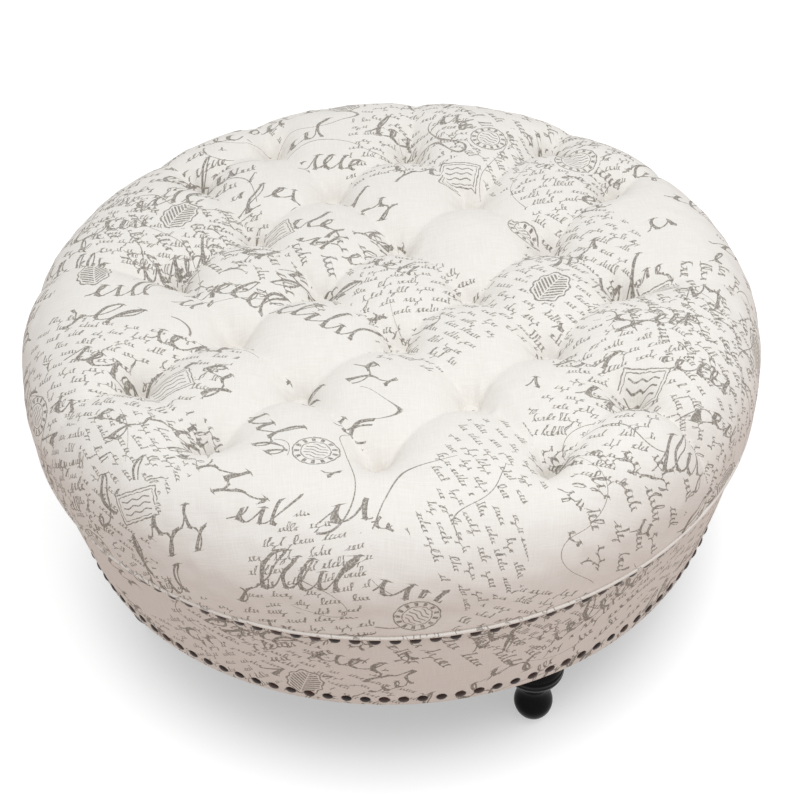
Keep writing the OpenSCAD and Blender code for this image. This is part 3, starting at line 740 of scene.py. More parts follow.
@dataclass(frozen=True)
class NailBronze:
    """Antique bronze nailheads: dark chemical patina, rubbed reddish brown on the crown."""

    dark: str = "1B1513"
    rubbed: str = "4B3128"
    mottles_per_m: float = 420.0
    rough: float = 0.42
    relief: float = 0.05 * MM
    metallic: float = 0.85

    def make(self) -> Material:
        """Make the material, which reads each nail's own "tone" attribute.

        Returns:
            The finished material.
        """
        material, tree = new_material("antique_bronze")
        tone = add(tree, "ShaderNodeAttribute", attribute_name="tone")
        where = add(tree, "ShaderNodeTexCoord").outputs["Object"]
        mottle = add(tree, "ShaderNodeTexNoise",
                     named={"Vector": where, "Scale": self.mottles_per_m, "Detail": 3.0})
        mixed = add(tree, M, tone.outputs["Fac"], mottle.outputs[0], operation="MULTIPLY")
        colour = add(tree, "ShaderNodeMix", data_type="RGBA", named={
            "Factor": mixed, "A": linear(self.dark), "B": linear(self.rubbed)})
        finish_surface(tree, colour.outputs[2], self.rough, mottle.outputs[0], self.relief,
                       Metallic=self.metallic)
        return material


# Meshes


def mesh_object(name: str, points: np.ndarray, faces: Sequence[Sequence[int]],
                material: Material, uv: np.ndarray | None = None) -> Object:
    """Make a smooth-shaded mesh object at the origin.

    Args:
        name: the piece's name.
        points: vertices, one row each.
        faces: vertex numbers of each face.
        material: the piece's one material.
        uv: UV of each face corner in metres, one row each, in the map "cloth".

    Returns:
        The new object, linked to the scene.
    """
    mesh = bpy.data.meshes.new(name)
    faces = [tuple(int(i) for i in f) for f in faces]
    mesh.from_pydata(points.tolist(), [], faces)
    if uv is not None:
        layer = mesh.uv_layers.new(name="cloth")
        layer.data.foreach_set("uv", np.asarray(uv, dtype=np.float32).ravel())
    mesh.shade_smooth()
    mesh.materials.append(material)
    piece = bpy.data.objects.new(name, mesh)
    bpy.context.scene.collection.objects.link(piece)
    return piece


def revolve(profile: np.ndarray, segments: int, closed: bool) -> tuple[np.ndarray, list, np.ndarray]:
    """Turn a profile about Z.

    Args:
        profile: rows of (radius, height); the outside lies to the right of its run.
        segments: steps round the circle.
        closed: whether the profile's end joins its start. Otherwise both ends lie on Z.

    Returns:
        Points, faces and the UV of each face corner (along the rim, along the profile).
    """
    count = len(profile)
    angle = np.linspace(0, 2 * np.pi, segments, endpoint=False)
    ring = np.arange(count) if closed else np.arange(1, count - 1)
    r, z = profile[ring, 0], profile[ring, 1]
    points = np.stack([np.outer(np.cos(angle), r), np.outer(np.sin(angle), r),
                       np.broadcast_to(z, (segments, len(ring)))], axis=-1).reshape(-1, 3)
    steps = np.linalg.norm(np.diff(np.vstack([profile, profile[:1]]), axis=0), axis=1)
    run = np.concatenate([[0], np.cumsum(steps)])
    wide = len(ring)
    mean_r = float(profile[:, 0].mean())
    faces, uv = [], []
    for s in range(segments):
        here, after = s * wide, ((s + 1) % segments) * wide
        u_here, u_after = angle[s] * mean_r, (angle[s] + 2 * np.pi / segments) * mean_r
        for j in range(wide if closed else wide - 1):
            k = (j + 1) % wide
            faces.append((here + j, after + j, after + k, here + k))
            low, high = run[ring[j]], run[ring[j] + 1]
            uv += [(u_here, low), (u_after, low), (u_after, high), (u_here, high)]
    if not closed:
        start, end = len(points), len(points) + 1
        points = np.vstack([points, [0, 0, profile[0, 1]], [0, 0, profile[-1, 1]]])
        for s in range(segments):
            here, after = s * wide, ((s + 1) % segments) * wide
            faces += [(start, after, here), (end, here + wide - 1, after + wide - 1)]
            uv += [(0, 0)] * 6
    return points, faces, np.array(uv)


def stitch(inner: Sequence[int], outer: Sequence[int]) -> list[tuple[int, int, int]]:
    """Join two rings of different counts with triangles, seen anticlockwise from outside.

    Args:
        inner: vertex numbers round the first ring.
        outer: vertex numbers round the second ring, starting at the same angle.

    Returns:
        The triangles.
    """
    faces, i, o = [], 0, 0
    while i < len(inner) or o < len(outer):
        if o * len(inner) <= i * len(outer) and o < len(outer):
            faces.append((inner[i % len(inner)], outer[o], outer[(o + 1) % len(outer)]))
            o += 1
        else:
            faces.append((inner[i], outer[o % len(outer)], inner[(i + 1) % len(inner)]))
            i += 1
    return faces


def noise_on(points: np.ndarray, size: float, seed: int, waves: int = 24) -> np.ndarray:
    """Smooth random height at points, from a sum of seeded waves.

    Args:
        points: rows of coordinates in metres.
        size: typical wave length in metres.
        seed: the random seed.
        waves: how many waves are added.

    Returns:
        One value for each point, mostly between -1 and 1.
    """
    rng = np.random.default_rng(seed)
    total = np.zeros(len(points))
    for _ in range(waves):
        way = rng.normal(size=points.shape[1])
        way *= 2 * np.pi / (size * rng.uniform(0.7, 1.6)) / np.linalg.norm(way)
        total += np.sin(points @ way + rng.uniform(0, 2 * np.pi))
    return total * math.sqrt(2 / waves) * 0.5


# The pouf's own pieces


@dataclass
class Cushion:
    """The tufted top: a thick round cushion whose cloth is drawn down at every button."""

    seat_r: float = 0.445
    flat_r: float = 0.345
    crown_z: float = 0.437
    dish_h: float = 0.010
    widest_z: float = 0.341
    seam_z: float = 0.294
    roll_power: float = 2.15
    tuft_depth: float = 0.045
    mid_share: float = 0.33
    rim_pleat: float = 0.002
    # How the cloth turns in over the welt: radius and height, going down
    tuck: tuple[tuple[float, float], ...] = (
        (0.4434, 0.2990), (0.4427, 0.2979), (0.4415, 0.2973), (0.4400, 0.2972), (0.4385, 0.2962),
        (0.4370, 0.2940))
    side_in: float = 0.0014
    side_low_z: float = 0.3010
    wadding_r: float = 0.423
    wadding_top: float = 0.378
    wadding_round: float = 0.043
    # The cloth falls to a pleat in a sharp nip inside a wide slope:
    # share of the depth, and reach on the top and at the rim, of each
    falls: tuple[tuple[float, float, float], ...] = ((0.55, 0.017, 0.010), (0.45, 0.036, 0.018))
    pit_r: float = 0.0095
    # Rounds of smoothing that turn a fold's sharp bottom into a bend of cloth
    soften: int = 3
    # Rounds that the skin is relaxed: a start, and how they grow with the reach of a slope
    relax: tuple[float, float, float, float] = (40, 9, 2.2, 0.034)
    spacing: float = 0.0026
    near_tufts: float = 0.160
    surplus: float = 0.12
    # How far the front puff hangs back over a pleat or tuft behind it, how much that lifts it,
    # how steep the cloth is there, and where on the rim it ends
    lap: float = 0.005
    lap_lift: float = 0.18
    lap_steep: float = 1.2
    lap_end: float = 0.470
    lap_fade: float = 0.06
    # From which share of facing back a slope hangs over, and the range to its full share;
    # rounds of smoothing, and what a point keeps of its own shift in each
    lap_back: tuple[float, float] = (0.05, 0.5)
    lap_rounds: int = 5
    lap_kept: float = 0.4
    # Points along the section of the top, the roll and the side, and where the tufts' part ends
    steps: tuple[int, int, int] = (60, 160, 40)
    tufts_end: int = 200
    # Points of the CAD buttons this far apart belong to two tufts; a button's own reach
    button_apart: float = 0.030
    button_reach: float = 0.025
    # How near a point is moved onto a pleat, and the least face left by that, in spacings
    grip: float = 0.45
    least_face: float = 0.08
    # Where along the cloth the wide slope at the top turns into the narrow one at the rim
    rim_from: tuple[float, float] = (0.36, 0.47)
    # Height, size and seed of the unevenness of the fill, which ends at the seam
    lumps: tuple[tuple[float, float, int], ...] = ((1.3 * MM, 0.11, 5), (0.5 * MM, 0.035, 6))
    lumps_end: float = 0.03
    # Gathers round a tuft: folds, strength and phase of two waves, then height, middle and reach
    gathers: tuple[tuple[int, float, float], ...] = ((9, 1.0, 1.0), (14, 0.6, 2.3))
    gather_h: float = 0.7 * MM
    gather_r: float = 0.020
    gather_reach: float = 0.012
    # Depth of a rim pleat half way and at the rim; the deep one lies nearest to this turn
    rim_mid: float = 0.006
    knife_turn: float = math.radians(-36)
    knife_mid: float = 0.024
    knife_rim: float = 0.005
    # What is left of a rim pleat half way down the border and at the seam
    rim_falls: tuple[float, float] = (0.6, 0.2)
    # Pleats that point this far to the front are pulled flat by the cloth
    flat_front: float = -0.5
    # Lining that closes the cover: points round, points on its bend, and steps to its middle
    lining_points: int = 180
    lining_bend: int = 9
    lining_steps: tuple[float, ...] = (1, 2, 3, 4)
    lining_step: float = 0.08
    # Found while the cushion is built
    tufts: np.ndarray = field(init=False, repr=False)
    flat_tufts: np.ndarray = field(init=False, repr=False)
    tuft_falls: np.ndarray = field(init=False, repr=False)
    joined: set[tuple[int, int]] = field(init=False, repr=False)
    outer: list[int] = field(init=False, repr=False)
    links: np.ndarray = field(init=False, repr=False)
    link_start: np.ndarray = field(init=False, repr=False)
    link_count: np.ndarray = field(init=False, repr=False)

    @property
    def tuft_z(self) -> float:
        """Height of the tufts' floor."""
        return self.crown_z - self.dish_h - self.tuft_depth

    def tufts_from(self, node: Object) -> None:
        """Read the tufts' places from the CAD buttons' loose islands.

        Args:
            node: the CAD node that holds all buttons.
        """
        at = np.array([v.co[:] for v in node.data.vertices])[:, :2]
        centres: list[np.ndarray] = []
        for p in at:
            if all(np.linalg.norm(p - c) > self.button_apart for c in centres):
                centres.append(at[np.linalg.norm(at - p, axis=1) < self.button_apart].mean(axis=0))
        refined = [at[np.linalg.norm(at - c, axis=1) < self.button_reach] for c in centres]
        self.tufts = np.array([(g.min(axis=0) + g.max(axis=0)) / 2 for g in refined])
        LOG.info("tufts found: %d", len(self.tufts))

    def profile(self) -> tuple[np.ndarray, np.ndarray, np.ndarray]:
        """Trace the smooth cushion's section from its middle to the seam.

        Returns:
            Arc length, radius and height of closely spaced points.
        """
        on_top, on_roll, on_side = self.steps
        r1 = np.linspace(0, self.flat_r, on_top)
        z1 = self.crown_z - self.dish_h * (1 - (r1 / self.flat_r) ** 2)
        lean = np.linspace(0, np.pi / 2, on_roll)[1:]
        power = 2 / self.roll_power
        r2 = self.flat_r + (self.seat_r - self.flat_r) * np.sin(lean) ** power
        z2 = self.widest_z + (self.crown_z - self.widest_z) * np.cos(lean) ** power
        down = np.linspace(0, 1, on_side)[1:]
        z3 = self.widest_z - (self.widest_z - self.side_low_z) * down
        r3 = self.seat_r - self.side_in * down ** 2
        under = np.array(self.tuck)
        r, z = np.concatenate([r1, r2, r3, under[:, 0]]), np.concatenate([z1, z2, z3, under[:, 1]])
        arc = np.concatenate([[0], np.cumsum(np.hypot(np.diff(r), np.diff(z)))])
        return arc, r, z

    def disc(self, reach: float) -> tuple[np.ndarray, np.ndarray, int]:
        """Lay rings of 6, 12, 18 ... points on a flat disc.

        Args:
            reach: the disc's radius.

        Returns:
            Points, triangles and the number of rings.
        """
        rings = round(reach / self.spacing)
        start = [0] + [1 + 3 * k * (k - 1) for k in range(1, rings + 2)]
        points = [np.zeros((1, 2))]
        faces = [np.array([(0, 1 + j, 1 + (j + 1) % 6) for j in range(6)])]
        for k in range(1, rings + 1):
            angle = 2 * np.pi * np.arange(6 * k) / (6 * k)
            points.append(np.stack([np.cos(angle), np.sin(angle)], axis=1) * reach * k / rings)
            if k == rings:
                break
            side = np.arange(6)[:, None]
            j = np.arange(k + 1)[None, :]
            inner = start[k] + (side * k + j) % (6 * k)
            outer = start[k + 1] + (side * (k + 1) + np.arange(k + 2)[None, :]) % (6 * (k + 1))
            faces.append(np.stack([inner, outer[:, :-1], outer[:, 1:]], axis=-1).reshape(-1, 3))
            faces.append(np.stack([inner[:, :-1], outer[:, 1:-1], inner[:, 1:]],
                                  axis=-1).reshape(-1, 3))
        return np.vstack(points), np.vstack(faces), rings

    def pleats(self, arc: np.ndarray, r: np.ndarray, z: np.ndarray) -> list[tuple]:
        """List the pleats on the flattened cloth.

        Args:
            arc: arc length along the section.
            r: radius along the section.
            z: height along the section.

        Returns:
            (start, end, depths at start, middle and end) of each.
        """
        top, reach = slice(self.tufts_end), np.linalg.norm(self.tufts, axis=1)
        flat = self.tufts * (np.interp(reach, r[top], arc[top]) / reach)[:, None]
        falls = np.interp(reach, r[top], z[top]) - self.tuft_z
        self.flat_tufts, self.tuft_falls = flat, falls
        mid = self.tuft_depth * self.mid_share
        found = []
        self.joined = set()
        for a in range(len(flat)):
            for b in range(a + 1, len(flat)):
                if np.linalg.norm(self.tufts[a] - self.tufts[b]) < self.near_tufts:
                    found.append((flat[a], flat[b], falls[a], mid, falls[b]))
                    self.joined |= {(a, b), (b, a)}
        widest = arc[np.argmax(r)]
        self.outer = [a for a in range(len(flat))
                      if sum((a, b) in self.joined for b in range(len(flat))) < 4]
        turns = np.arctan2(flat[self.outer, 1], flat[self.outer, 0])
        knife = self.outer[int(np.abs(turns - self.knife_turn).argmin())]
        for a in self.outer:
            way = flat[a] / np.linalg.norm(flat[a])
            mid_rim, rim = self.rim_mid, self.rim_pleat
            if a == knife:
                mid_rim, rim = self.knife_mid, self.knife_rim
            elif way[1] < self.flat_front:
                continue
            half_way, at_seam = self.rim_falls
            found.append((flat[a], way * widest, falls[a], mid_rim, rim))
            found.append((way * widest, way * arc[-1], rim, rim * half_way, rim * at_seam))
        return found

    def draw_in(self, flat: np.ndarray, faces: np.ndarray, pleats: list[tuple],
                rings: int) -> tuple[np.ndarray, np.ndarray, np.ndarray]:
        """Find how far each point of the cloth is drawn in, like a stretched skin.

        Args:
            flat: points on the flattened cloth; those near a pleat are moved onto it.
            faces: the triangles.
            pleats: the pleats on the flattened cloth.
            rings: the number of rings.

        Returns:
            The moved points, the depth at each, and which lie on a pleat or tuft.
        """
        moved = flat.copy()
        fixed = np.full(len(flat), np.nan)
        nearest = np.full(len(flat), self.grip * self.spacing)
        for start, end, deep_a, deep_mid, deep_b in pleats:
            way = end - start
            t = np.clip(((flat - start) @ way) / (way @ way), 0, 1)
            on = start + t[:, None] * way
            gap = np.linalg.norm(flat - on, axis=1)
            deep = np.where(t < 0.5, deep_mid + (deep_a - deep_mid) * (1 - 2 * t) ** 2,
                            deep_mid + (deep_b - deep_mid) * (2 * t - 1) ** 2)
            near = gap < nearest
            moved[near], nearest[near], fixed[near] = on[near], gap[near], deep[near]
        for p, fall in zip(self.flat_tufts, self.tuft_falls):
            fixed[np.linalg.norm(flat - p, axis=1) < self.pit_r] = fall
        first = 1 + 3 * rings * (rings - 1)
        fixed[first:] = np.where(np.isnan(fixed[first:]), 0.0, fixed[first:])
        for _ in range(3):
            a, b, c = (moved[faces[:, i]] for i in range(3))
            area = 0.5 * ((b - a)[:, 0] * (c - a)[:, 1] - (b - a)[:, 1] * (c - a)[:, 0])
            bad = faces[area < self.least_face * self.spacing ** 2]
            if not len(bad):
                break
            far = np.linalg.norm(moved[bad] - flat[bad], axis=2).argmax(axis=1)
            undo = bad[np.arange(len(bad)), far]
            moved[undo] = flat[undo]
            fixed[undo] = np.nan
        edges = np.vstack([faces[:, [0, 1]], faces[:, [1, 2]], faces[:, [2, 0]]])
        edges = np.unique(np.sort(edges, axis=1), axis=0)
        both = np.vstack([edges, edges[:, ::-1]])
        both = both[np.argsort(both[:, 0], kind="stable")]
        count = np.bincount(both[:, 0], minlength=len(flat))
        begin = np.concatenate([[0], np.cumsum(count)[:-1]])
        self.links, self.link_start, self.link_count = both, begin, count
        s = np.linalg.norm(flat, axis=1)
        free = np.isnan(fixed)
        total = np.zeros(len(flat))
        for share, on_top, at_rim in self.falls:
            damp = 1 + (self.spacing / np.interp(s, self.rim_from, [on_top, at_rim])) ** 2 / 4
            depth = np.where(free, 0.0, fixed)
            # A wider slope needs more rounds before the skin comes to rest
            start, more, growth, per = self.relax
            for _ in range(round(start + more * on_top / self.spacing * growth ** (on_top / per))):
                mean = np.add.reduceat(depth[both[:, 1]], begin) / count
                depth = np.where(free, mean / damp, fixed)
            total += share * depth
        for _ in range(self.soften):
            total = 0.5 * total + 0.5 * np.add.reduceat(total[both[:, 1]], begin) / count
        return moved, total, ~free

    def puffs(self) -> list[list[int]]:
        """List the diamonds between four tufts.

        Returns:
            The tuft numbers of each diamond, in order round it.
        """
        found, seen = [], set()
        count = len(self.tufts)
        for a in range(count):
            for b in range(a + 1, count):
                shared = [c for c in range(count)
                          if (a, c) in self.joined and (b, c) in self.joined]
                if (a, b) not in self.joined and len(shared) == 2:
                    key = frozenset((a, b, *shared))
                    if key not in seen:
                        seen.add(key)
                        found.append([a, shared[0], b, shared[1]])
        return found

    def cloth_map(self, flat: np.ndarray, faces: np.ndarray, radius: np.ndarray) -> np.ndarray:
        """Lay the print on the cloth, broken where a pleat swallows some of it.

        Args:
            flat: points on the flattened cloth.
            faces: the triangles.
            radius: real radius of each point, before any pull.

        Returns:
            UV of each face corner in metres.
        """
        centre = flat[faces].mean(axis=1)
        label = np.full(len(faces), -1)
        uv = np.zeros((len(faces), 3, 2))
        for number, ring in enumerate(self.puffs()):
            corners = self.flat_tufts[ring]
            inside = np.ones(len(faces), dtype=bool)
            middle = corners.mean(axis=0)
            for i in range(4):
                a, b = corners[i], corners[(i + 1) % 4]
                side = np.array([-(b - a)[1], (b - a)[0]])
                side *= np.sign((middle - a) @ side)
                inside &= (centre - a) @ side > 0
            label[inside] = number
            uv[inside] = flat[faces[inside]] + self.surplus * middle
        rim = label < 0
        angles = np.sort(np.arctan2(self.flat_tufts[self.outer, 1], self.flat_tufts[self.outer, 0]))
        angle = np.arctan2(centre[:, 1], centre[:, 0])
        sector = np.searchsorted(angles, angle) % len(angles)
        low, high = angles[sector - 1], angles[sector]
        low = np.where(sector == 0, angles[-1] - 2 * np.pi * (angle < angles[0]), low)
        high = np.where(sector == 0, angles[0] + 2 * np.pi * (angle > angles[-1]), high)
        middle = (low + high) / 2
        corner = flat[faces]
        own = np.arctan2(corner[..., 1], corner[..., 0])
        off = (own - middle[:, None] + np.pi) % (2 * np.pi) - np.pi
        out = np.linalg.norm(corner, axis=2) * (1 + 0.5 * self.surplus)
        side = off * radius[faces]
        cos_m, sin_m = np.cos(middle)[:, None], np.sin(middle)[:, None]
        laid = np.stack([out * cos_m - side * sin_m, out * sin_m + side * cos_m], axis=-1)
        uv[rim] = laid[rim]
        return uv.reshape(-1, 2)

    def build(self, material: Material) -> Object:
        """Build the closed cover with its padding.

        Args:
            material: the printed cloth.

        Returns:
            The cushion's piece.
        """
        arc, r, z = self.profile()
        flat, faces, rings = self.disc(arc[-1])
        moved, depth, held = self.draw_in(flat, faces, self.pleats(arc, r, z), rings)
        s = np.linalg.norm(moved, axis=1)
        radius, height = np.interp(s, arc, r), np.interp(s, arc, z)
        slope = np.gradient(z, arc), np.gradient(r, arc)
        out_r, out_z = -np.interp(s, arc, slope[0]), np.interp(s, arc, slope[1])
        uneven = sum(tall * noise_on(moved, size, seed) for tall, size, seed in self.lumps)
        uneven *= np.clip((arc[-1] - s) / self.lumps_end, 0, 1)
        ripple = np.zeros(len(moved))
        for number, p in enumerate(self.flat_tufts):
            away = moved - p
            gap = np.linalg.norm(away, axis=1)
            turn = np.arctan2(away[:, 1], away[:, 0])
            wave = sum(strength * np.sin(turn * folds + phase * number)
                       for folds, strength, phase in self.gathers)
            ripple += self.gather_h * wave * np.exp(-((gap - self.gather_r) / self.gather_reach) ** 2)
        push = uneven + ripple - depth
        way = moved / np.maximum(s, 1e-9)[:, None]
        skin = np.column_stack([way * (radius + push * out_r)[:, None], height + push * out_z])
        lap = self.laps(moved, faces, depth, held)
        skin[:, :2] += lap
        skin[:, 2] += self.lap_lift * np.linalg.norm(lap, axis=1)
        uv = self.cloth_map(moved, faces, radius)
        points, faces, uv = self.close(skin, faces, uv, rings)
        return mesh_object("cushion_cover", points, faces, material, uv)

    def laps(self, moved: np.ndarray, faces: np.ndarray, depth: np.ndarray,
             held: np.ndarray) -> np.ndarray:
        """Find how the back of each puff slumps over the pleat and tufts behind it.

        The folds were all laid towards the front, so cloth that falls away to the back
        hangs over, and cloth that falls to the front stays as it is.

        Args:
            moved: points on the flattened cloth.
            faces: the triangles.
            depth: how far each point is drawn in.
            held: which points lie on a pleat or tuft.

        Returns:
            The shift of every point across the cushion.
        """
        a, b, c = (moved[faces[:, i]] for i in range(3))
        ab, ac = b - a, c - a
        area = ab[:, 0] * ac[:, 1] - ab[:, 1] * ac[:, 0]
        da = depth[faces[:, 1]] - depth[faces[:, 0]]
        dc = depth[faces[:, 2]] - depth[faces[:, 0]]
        slope = np.stack([(da * ac[:, 1] - dc * ab[:, 1]), (dc * ab[:, 0] - da * ac[:, 0])], axis=1)
        total, weight = np.zeros_like(moved), np.zeros(len(moved))
        for i in range(3):
            np.add.at(total, faces[:, i], slope)
            np.add.at(weight, faces[:, i], area)
        slope = total / np.maximum(weight, 1e-12)[:, None]
        steep = np.linalg.norm(slope, axis=1)
        least, span = self.lap_back
        back = np.clip((slope[:, 1] / np.maximum(steep, 1e-6) - least) / span, 0, 1)
        share = back ** 2 * (3 - 2 * back) * steep ** 2 / (steep ** 2 + self.lap_steep)
        shift = self.lap * share[:, None] * slope / np.maximum(steep, 1e-6)[:, None]
        for _ in range(self.lap_rounds):
            shift[held] = 0
            mean = np.add.reduceat(shift[self.links[:, 1]], self.link_start)
            mean = mean / self.link_count[:, None]
            shift = self.lap_kept * shift + (1 - self.lap_kept) * mean
        shift[held] = 0
        fade = np.clip((self.lap_end - np.linalg.norm(moved, axis=1)) / self.lap_fade, 0, 1)
        return shift * fade[:, None]

    def close(self, skin: np.ndarray, faces: np.ndarray, uv: np.ndarray,
              rings: int) -> tuple[np.ndarray, list, np.ndarray]:
        """Close the cover with its underside and the face that lies on the wadding.

        Args:
            skin: the outer skin's points.
            faces: its triangles.
            uv: its UV, one row for each face corner.
            rings: how many rings the skin has.

        Returns:
            All points, faces and UV rows.
        """
        turn = np.linspace(0, np.pi / 2, self.lining_bend)
        inner = [(self.wadding_r, self.seam_z)]
        inner += [(self.wadding_r - self.wadding_round * (1 - math.cos(a)),
                   self.wadding_top - self.wadding_round * (1 - math.sin(a))) for a in turn]
        inner += [(self.wadding_r - self.wadding_round - self.lining_step * k, self.wadding_top)
                  for k in self.lining_steps]
        count = self.lining_points
        angle = np.linspace(0, 2 * np.pi, count, endpoint=False)
        rows = [np.column_stack([rr * np.cos(angle), rr * np.sin(angle), np.full(count, zz)])
                for rr, zz in inner]
        start = len(skin)
        points = np.vstack([skin, *rows, [[0, 0, self.wadding_top]]])
        last = 6 * rings
        edge = list(range(start - last, start))
        new = [(a, c, b) for a, b, c in stitch(list(range(start, start + count)), edge)]
        for row in range(len(inner) - 1):
            a, b = start + row * count, start + (row + 1) * count
            for j in range(count):
                k = (j + 1) % count
                new += [(a + j, b + j, b + k), (a + j, b + k, a + k)]
        hub, ring = len(points) - 1, start + (len(inner) - 1) * count
        new += [(ring + j, hub, ring + (j + 1) % count) for j in range(count)]
        inner_uv = np.vstack([points[list(f)][:, :2] for f in new])
        return points, [*map(tuple, faces), *new], np.vstack([uv, inner_uv])


@dataclass
class Apron:
    """The drum's cloth: stretched round the padding, nailed and turned under."""

    low_r: float = 0.4092
    top_r: float = 0.438
    low_z: float = 0.141
    top_z: float = 0.294
    cloth: float = 0.0012
    hem: float = 0.020
    seam_hem: float = 0.026
    bend: float = 0.0012
    # Where the cloth's inner side starts: in from the hem's bend, up the wall, in at the seam
    inside: tuple[float, float, float] = (0.008, 0.01, 0.012)
    # Points round the bend, down the wall, along the hem and up the inner side
    steps: tuple[int, int, int, int] = (5, 44, 5, 14)
    # A point this near a face lies on it
    on_face: float = 0.0004
    # Height and shape of the swell between the nail rows, and its unevenness
    puff: float = 0.0016
    puff_power: float = 0.7
    uneven: tuple[float, float, int] = (0.7 * MM, 0.16, 8)
    # Cloth rises between two nails: its height and how far past the row it reaches
    between_h: float = 0.7 * MM
    between_reach: float = 0.010
    # Gathers of the hem under the drum: height, number, how far in from the edge they start,
    # and the strength and number of the wave that makes them uneven
    gather_h: float = 0.3 * MM
    gathers: int = 96
    gather_in: float = 0.004
    gather_drift: tuple[float, int] = (3, 7)
    # How far the lower edge sags beside each leg, and where, from the first leg on
    sag: float = 0.0042
    sag_turn: float = math.radians(24.7 + 12 - 90)
    sag_reach: float = math.radians(20)
    # How it fades up to the lower nails, and in from the edge: start and range
    sag_power: float = 1.5
    sag_in: tuple[float, float] = (0.005, 0.004)
    nail_rows: tuple[tuple[float, int], ...] = ((0.2823, 130), (0.1545, 123))
    segments: int = 912

    def wall_r(self, z: np.ndarray | float) -> np.ndarray | float:
        """Radius of the drum's outer face at a height."""
        return self.low_r + (self.top_r - self.low_r) * (z - self.low_z) / (self.top_z - self.low_z)

    def build(self, material: Material) -> Object:
        """Build the cloth as a closed ring with its turned edges.

        Args:
            material: the printed cloth.

        Returns:
            The apron's piece.
        """
        t = self.cloth
        low = self.low_z
        in_bend, on_down, on_hem, on_rise = self.steps
        hem_in, rise_up, seam_in = self.inside
        bend = [(self.low_r - self.bend * (1 - math.cos(a)), low + self.bend * (1 - math.sin(a)))
                for a in np.linspace(0, np.pi / 2, in_bend)[1:]]
        down = [(float(self.wall_r(z)), float(z))
                for z in np.linspace(self.top_z, low + self.bend, on_down)]
        hem = [(self.low_r - self.bend - k * (self.hem - self.bend) / on_hem, low)
               for k in range(1, on_hem + 1)]
        back = [(self.low_r - self.hem, low + t), (self.low_r - hem_in, low + t),
                (float(self.wall_r(low + t)) - t, low + t)]
        rise = [(float(self.wall_r(z)) - t, float(z))
                for z in np.linspace(low + rise_up, self.top_z - t, on_rise)]
        flange = [(self.top_r - self.seam_hem, self.top_z - t),
                  (self.top_r - self.seam_hem, self.top_z), (self.top_r - seam_in, self.top_z)]
        profile = np.array(down + bend + hem + back + rise + flange)
        points, faces, uv = revolve(profile[::-1], self.segments, closed=True)
        angle = np.arctan2(points[:, 1], points[:, 0])
        radius = np.hypot(points[:, 0], points[:, 1])
        z = points[:, 2]
        outer = np.abs(radius - self.wall_r(z)) < self.on_face
        rows = [row_z for row_z, _ in self.nail_rows]
        share = np.clip((z - min(rows)) / (max(rows) - min(rows)), 0, 1)
        swell = self.puff * np.sin(np.pi * share) ** self.puff_power
        tall, size, seed = self.uneven
        swell += tall * noise_on(points, size, seed) * np.sin(np.pi * share)
        for row_z, count in self.nail_rows:
            beside = np.exp(-((z - row_z) / self.between_reach) ** 2)
            between = 0.5 - 0.5 * np.cos(count * angle)
            swell += self.between_h * beside * between
        strength, waves = self.gather_drift
        gather = self.gather_h * np.sin(angle * self.gathers + strength * np.sin(angle * waves))
        under = (z < low + self.on_face) & (radius < self.low_r - self.gather_in)
        new_r = radius + np.where(outer, swell, 0)
        points[:, 0], points[:, 1] = new_r * np.cos(angle), new_r * np.sin(angle)
        points[:, 2] -= np.where(under, np.abs(gather), 0)
        beside_leg = (angle - self.sag_turn + np.pi / 4) % (np.pi / 2) - np.pi / 4
        edge = np.clip((min(rows) - z) / (min(rows) - low), 0, 1) ** self.sag_power
        start, span = self.sag_in
        edge *= np.clip((radius - self.low_r + start) / span, 0, 1)
        points[:, 2] -= self.sag * edge * np.exp(-(beside_leg / self.sag_reach) ** 2)
        return mesh_object("apron_cloth", points, faces, material, uv)

    @property
    def flat_size(self) -> tuple[float, float]:
        """Width and length of the strip the apron was cut to."""
        return (self.slant + self.hem + self.seam_hem, 2 * math.pi * self.top_r + 0.02)

    @property
    def slant(self) -> float:
        """Length of the drum's outer face, lower edge to seam."""
        return math.hypot(self.top_r - self.low_r, self.top_z - self.low_z)

    @property
    def flat_area(self) -> float:
        """Area of the cut cloth.

        Returns:
            Square metres of the wall, the hem under the drum and the hem in the seam.
        """
        wall = math.pi * (self.low_r + self.top_r) * self.slant
        under = math.pi * (self.low_r ** 2 - (self.low_r - self.hem) ** 2)
        seam = math.pi * (self.top_r ** 2 - (self.top_r - self.seam_hem) ** 2)
        return wall + under + seam


@dataclass
class Welt:
    """The covered cord sewn into the seam between cushion and drum."""

    ring_r: float = 0.44105
    height: float = 0.294
    cord_r: float = 0.003
    # How much thicker and thinner the cord gets, over what length, and the seed of that
    uneven: tuple[float, float, int] = (0.05, 0.025, 12)
    segments: int = 720
    around: int = 20

    def build(self, material: Material) -> Object:
        """Build the cord's cloth as one closed ring.

        Args:
            material: the printed cloth.

        Returns:
            The welt's piece.
        """
        turn = np.linspace(0, 2 * np.pi, self.around, endpoint=False)
        profile = np.column_stack([self.ring_r + self.cord_r * np.cos(turn),
                                   self.height + self.cord_r * np.sin(turn)])
        points, faces, uv = revolve(profile, self.segments, closed=True)
        angle = np.arctan2(points[:, 1], points[:, 0])
        middle = np.column_stack([self.ring_r * np.cos(angle), self.ring_r * np.sin(angle),
                                  np.full(len(points), self.height)])
        share, size, seed = self.uneven
        swell = 1 + share * noise_on(middle, size, seed)[:, None]
        points = middle + (points - middle) * swell
        return mesh_object("welt_cord", points, faces, material, uv)


